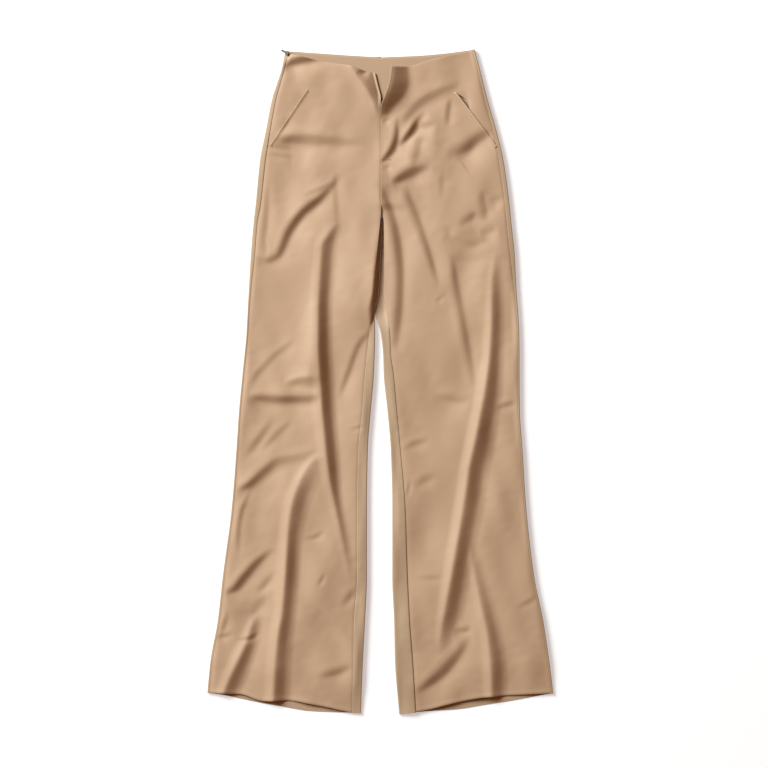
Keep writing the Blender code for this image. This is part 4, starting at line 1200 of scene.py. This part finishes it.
for leg in (RIGHT, LEFT):
    for maker, kind, node, material, slot in (
            (pocket_welt, "welt", "pocket_welt", front_crepe, "crepe"),
            (pocket_side, "pocket_side", "pocket_facing", facing_crepe, "facing")):
        points = maker(leg)
        flip = points[0, -1, 0] < points[0, 0, 0]
        mesh = grid_mesh(f"{kind}_{leg.name}_crepe", points, flip=flip)
        piece = cloth_piece(mesh, material, THIN_CLOTH, f"{node}_{leg.name}", slot)
        if kind == "welt":
            turned_edges[leg.name].append(piece)
        else:
            small_sheets[piece] = (points, fronts[leg.name].name)

# %% [markdown]
# ## The zip
#
# An invisible zip sits in the right side seam, so only its slider and pull show outside, with a hint of
# tape in the seam. The slider and the pull keep their solids, whose shape is right, and get a dark,
# slightly worn metal.

# %% Zip tape
ZIP_LENGTH = 190.0
ZIP_WIDTH = 3.0
TAPE_SINK = 1.9  # mm below the seam
COIL_SINK = 1.55
COIL_PITCH = 1.4


def zip_tape():
    """A narrow strip under the seam, with the coil as a low rib down its middle."""
    y = np.linspace(SLIDER_AT[1] - 8, WAIST_Y - ZIP_LENGTH, 190)[:, None]
    share = np.linspace(-0.5, 0.5, 9)
    x = across(RIGHT_SECTIONS, "side_seam", y) + share * ZIP_WIDTH
    y = np.broadcast_to(y, x.shape)
    rib = 0.35 * bell(share, 0.16) * (0.7 + 0.3 * np.cos(2 * np.pi * y / 2.0))
    return np.stack([x, y, lay_height(x, y, RIGHT) - TAPE_SINK + rib], axis=-1)


mesh = grid_mesh("side_zip_tape_woven", zip_tape())
tape = cloth_piece(mesh, tape_cloth, THIN_CLOTH, "side_zip_tape", "zip_tape")

# %% Dark zip metal


def metal_material(name, colour, worn):
    """Dark plated metal: fine noise in its roughness, and paler where a coarse noise says it is worn."""
    material, tree, shader = new_material(name)
    place = add_node(tree, "ShaderNodeTexCoord").outputs["Object"]
    patch = noise(tree, place, 900.0, 3.0, 0.6)
    scratch = noise(tree, stretched(tree, place, (4000.0, 700.0, 4000.0)), 1.0, 2.0, 0.5)
    wear = math_node(tree, "MULTIPLY_ADD", patch, 2.4, -1.05, clamp=True)
    colour_out = mix_colour(tree, wear, (*colour, 1), (*worn, 1))
    rough = math_node(tree, "MULTIPLY_ADD", scratch, 0.3, 0.42)
    set_inputs(tree, shader, [
        ("Base Color", colour_out),
        ("Roughness", rough),
        ("Normal", bump_normal(tree, scratch, 0.00002, 0.4)),
        ("Metallic", 0.35),
        ("Specular IOR Level", 0.3)])
    return material


zip_metal = metal_material("zip_metal", (0.09, 0.084, 0.082), (0.16, 0.152, 0.15))
for node in ("zip_slider", "zip_pull"):
    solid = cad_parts[node]
    solid.data.materials.clear()
    solid.data.materials.append(zip_metal)
    print("zip metal is on", node)

# %% [markdown]
# ## Stitches and zip teeth
#
# A blind stitch shows on the face of a hem as a row of short dashes. A pocket mouth is held down by a
# row of topstitches, with a bar tack at each end, and a longer tack closes the foot of the fly. The
# teeth of an invisible zip are a nylon coil. All of these are short bent threads, so one function
# makes any row of them from the points where the threads enter and leave the cloth.

# %% Rows of short threads
RINGS = 5
SIDES = 5


def thread_row(name, starts, ends, radius, bow, material):
    """Threads from each start to each end, thin at both tips, that rise in a low bow between."""
    share = np.linspace(0, 1, RINGS)
    turn = 2 * np.pi * np.arange(SIDES) / SIDES
    spine = starts[:, None] + (ends - starts)[:, None] * share[:, None]
    spine[..., 2] += bow * np.sin(np.pi * share)
    run = (ends - starts) / np.linalg.norm(ends - starts, axis=1)[:, None]
    side = np.stack([-run[:, 1], run[:, 0], 0 * run[:, 0]], axis=-1)
    side = side / np.linalg.norm(side, axis=1)[:, None]
    up = np.cross(run, side)
    ring = np.cos(turn)[:, None] * side[:, None] + np.sin(turn)[:, None] * up[:, None]
    thick = radius * np.sqrt(np.sin(np.pi * (0.04 + 0.92 * share)))
    points = spine[:, :, None] + thick[:, None, None] * ring[:, None]
    corner = np.arange(RINGS * SIDES).reshape(RINGS, SIDES)
    turned = np.roll(corner, -1, axis=1)
    quads = np.stack([corner[:-1], turned[:-1], turned[1:], corner[1:]], axis=-1).reshape(-1, 4)
    first = RINGS * SIDES * np.arange(len(starts))[:, None, None]
    quads = (first + quads).reshape(-1, 4).tolist()
    caps = (first + np.stack([corner[0, ::-1], corner[-1]])).reshape(-1, SIDES).tolist()
    mesh = bpy.data.meshes.new(name)
    mesh.from_pydata(points.reshape(-1, 3) * MM, [], quads + caps)
    mesh.shade_smooth()
    print(name, len(starts), "threads")
    return add_piece(mesh, material)


def thread_material(name, dye, deep_dye, roughness=0.55):
    """Twisted thread: two noises, one drawn out along the thread, in its colour and its height."""
    material, tree, shader = new_material(name)
    place = add_node(tree, "ShaderNodeTexCoord").outputs["Object"]
    twist = noise(tree, stretched(tree, place, (5200.0, 2600.0, 5200.0)), 1.0, 2.0, 0.6)
    shade = noise(tree, place, 160.0, 2.0, 0.5)
    blend = math_node(tree, "MULTIPLY_ADD", twist, 0.9, math_node(tree, "MULTIPLY", shade, 0.3),
                      clamp=True)
    colour = mix_colour(tree, blend, (*dye, 1), (*deep_dye, 1))
    set_inputs(tree, shader, [
        ("Base Color", colour),
        ("Normal", bump_normal(tree, twist, 0.00003, 0.5)),
        ("Roughness", roughness),
        ("Sheen Weight", 0.2)])
    return material


sewing_thread = thread_material("sewing_thread", (0.35, 0.23, 0.145), (0.27, 0.17, 0.10))
coil_nylon = thread_material("coil_nylon", (0.16, 0.10, 0.065), (0.11, 0.07, 0.045), roughness=0.4)
print("thread materials:", sewing_thread.name, coil_nylon.name)

# %% Where the stitches go
HEM_PITCH = 4.2
TOP_PITCH = 3.2
BAR_PITCH = 0.7


def on_front(x, y, leg, above=0.0):
    """Points on the top of a front panel, a little above it."""
    x, y = np.broadcast_arrays(x, y)
    return np.stack([x, y, front_shape(x, y, leg) + above], axis=-1)


def hem_stitches(leg):
    """Dashes along the top of the turned hem."""
    seam = across(leg.sections, "side_seam", HEM_Y + 10) + leg.side * 4
    inseam = across(leg.sections, "front_edge", HEM_Y + 10) - leg.side * 4
    x = np.arange(min(seam, inseam), max(seam, inseam), HEM_PITCH)
    end = x + 1.5
    lift = HEM_DEPTH + 1.2
    return (on_front(x, edge_y(leg.front_hem, x) + lift, leg),
            on_front(end, edge_y(leg.front_hem, end) + lift, leg))


def welt_point(share, offset, leg):
    """A point on the face of a pocket welt, by its share of the mouth and its offset from the cut."""
    start, along, inner, length = mouth_frame(MOUTHS[leg.name])
    plan = start + along * length * share[:, None] + inner * offset[:, None]
    points = on_front(plan[:, 0], plan[:, 1], leg, 0.12)
    points[:, 2] += mouth_lip(plan[:, 0], plan[:, 1], MOUTHS[leg.name])
    return points


def pocket_stitches(leg):
    """Topstitches along the welt, and a bar tack across each of its ends."""
    length = mouth_frame(MOUTHS[leg.name])[3]
    share = np.arange(2.0, 0.93 * length, TOP_PITCH) / length
    line = 0 * share + 0.8 * WELT_WIDTH
    bar = np.arange(0.6, WELT_WIDTH, BAR_PITCH)
    starts = [welt_point(share, line, leg)]
    ends = [welt_point(share + 2.2 / length, line, leg)]
    for place in (0.012, 0.925):
        starts.append(welt_point(0 * bar + place, bar, leg))
        ends.append(welt_point(0 * bar + place + 1.7 / length, bar + 0.3, leg))
    return np.concatenate(starts), np.concatenate(ends)


print("threads on a hem:", len(hem_stitches(RIGHT)[0]))

# %% Sew
FLY_TACK = (3.5, 18.5, 366.0)  # from x, to x, y
stitches = {}
for leg in (RIGHT, LEFT):
    starts, ends = hem_stitches(leg)
    hem = thread_row(f"hem_stitches_{leg.name}", starts, ends, 0.13, 0.12, sewing_thread)
    starts, ends = pocket_stitches(leg)
    pocket = thread_row(f"pocket_stitches_{leg.name}", starts, ends, 0.14, 0.14, sewing_thread)
    stitches[leg.name] = [hem, pocket]
x = np.arange(FLY_TACK[0], FLY_TACK[1], BAR_PITCH)
tack = thread_row("fly_bar_tack", on_front(x, FLY_TACK[2] - 0.9, LEFT),
                  on_front(x + 0.3, FLY_TACK[2] + 0.9, LEFT), 0.16, 0.25, sewing_thread)
stitches["left"].append(tack)
y = np.arange(WAIST_Y - ZIP_LENGTH + 4, SLIDER_AT[1] - 12, COIL_PITCH)
x = across(RIGHT_SECTIONS, "side_seam", y)
z = lay_height(x, y, RIGHT) - COIL_SINK
teeth = thread_row("zip_coil", np.stack([x - 0.9, y, z], -1), np.stack([x + 0.9, y + 0.3, z], -1),
                   0.3, 0.2, coil_nylon)

# %% [markdown]
# ## What the sheets are cut from
#
# The size of the cut of each panel, of the waist facing and of the pocket sides is worked out and printed.
# The panels are flat cloth before they are sewn, so the lengths measured over the finished surface, along
# its rows and down its columns, are the lengths of the cut. Its area is the sum of its cells. Turnings that
# lie inside a fold are left out. The fly turnings and the pocket welts are edges of the front panels, and
# the stitches and the zip tape are sewn to the panels; they are passed along with their panel but add
# nothing.


def cut_size(points, cells=None):
    """Greatest width, greatest length and area over the cloth, in metres and square metres."""
    width = np.linalg.norm(np.diff(points, axis=1), axis=2)
    length = np.linalg.norm(np.diff(points, axis=0), axis=2)
    right = points[:-1, 1:] - points[:-1, :-1]
    down = points[1:, :-1] - points[:-1, :-1]
    area = np.linalg.norm(np.cross(right, down), axis=-1)
    if cells is not None:
        width = width[:-1] * cells
        area = area * cells
    return width.sum(axis=1).max() * MM, length.sum(axis=0).max() * MM, area.sum() * MM * MM


def declare(piece, points, cells=None, with_pieces=()):
    width, length, area = (float(value) for value in cut_size(points, cells))
    area = min(area, width * length)
    list(with_pieces)
    print(f"{piece.name}: {width:.3f} by {length:.3f} m, {area:.4f} m2")


sewn_on = {"right": [tape, teeth], "left": []}
for leg in (RIGHT, LEFT):
    points, cells = back_grid(leg)
    declare(backs[leg.name], points, cells, with_pieces=sewn_on[leg.name])
    declare(fronts[leg.name], front_grids[leg.name],
            with_pieces=stitches[leg.name] + turned_edges[leg.name])
for piece, (points, under) in small_sheets.items():
    declare(piece, points)

# %% [markdown]
# ## Floor, light and camera
#
# The floor is white paper. One large soft light stands beyond the waist on the right leg's side, about
# thirty-five degrees up, so that each fold has a bright flank and a dark one. A dim, warm surround keeps
# the dark flanks brown. The camera looks straight down from far enough away to flatten the perspective.

# %% Stage


def stage_material():
    """Pale paper with a very fine tooth, lit from below as a light table is, so that it reads as white."""
    material, tree, shader = new_material("white_paper")
    place = add_node(tree, "ShaderNodeTexCoord").outputs["Object"]
    tooth = noise(tree, place, 60.0, 2.0, 0.5)
    colour = mix_colour(tree, tooth, (0.52, 0.54, 0.55, 1), (0.54, 0.56, 0.57, 1))
    set_inputs(tree, shader, [
        ("Base Color", colour),
        ("Emission Color", (0.98, 0.98, 1.0, 1)),
        ("Emission Strength", 0.46),
        ("Roughness", 0.9),
        ("Specular IOR Level", 0.0)])
    return material


FLOOR_HALF = 6.0  # m
FLOOR_Z = -0.0002
floor_mesh = bpy.data.meshes.new("paper_floor")
corners = [(x * FLOOR_HALF, y * FLOOR_HALF, FLOOR_Z) for x, y in ((-1, -1), (1, -1), (1, 1), (-1, 1))]
floor_mesh.from_pydata(corners, [], [(0, 1, 2, 3)])
floor_mesh.materials.append(stage_material())
floor = add_object("paper_floor", floor_mesh)

world = bpy.data.worlds.new("studio")
bpy.context.scene.world = world
world.use_nodes = True
set_inputs(world.node_tree, world.node_tree.nodes["Background"],
           [("Color", (1.0, 0.46, 0.21, 1)), ("Strength", 0.28)])

KEY_PLACE = Vector((-3.8, 2.9, 3.35))
KEY_AIM = Vector((0.0, 0.05, 0.0))
key_data = bpy.data.lights.new("key_softbox", "AREA")
key_data.size = 3.2
key_data.energy = 775.0
key_data.color = (0.90, 0.98, 1.0)
key = add_object("key_softbox", key_data)
aim_turn = (KEY_AIM - KEY_PLACE).to_track_quat("-Z", "Y").to_matrix().to_4x4()
key.matrix_world = Matrix.Translation(KEY_PLACE) @ aim_turn

CAMERA_HEIGHT = 5.0  # m
VIEW_WIDTH = 1.2672
VIEW_CENTRE = (0.0066, -0.0033)
SENSOR_WIDTH = 36.0  # mm
camera_data = bpy.data.cameras.new("overhead")
camera_data.sensor_width = SENSOR_WIDTH
camera_data.lens = SENSOR_WIDTH * CAMERA_HEIGHT / VIEW_WIDTH
camera_data.clip_end = 100.0
camera = add_object("overhead", camera_data)
camera.location = (*VIEW_CENTRE, CAMERA_HEIGHT)
bpy.context.scene.camera = camera
bpy.context.scene.view_settings.view_transform = "Standard"
print("camera lens", round(camera_data.lens, 1), "mm")
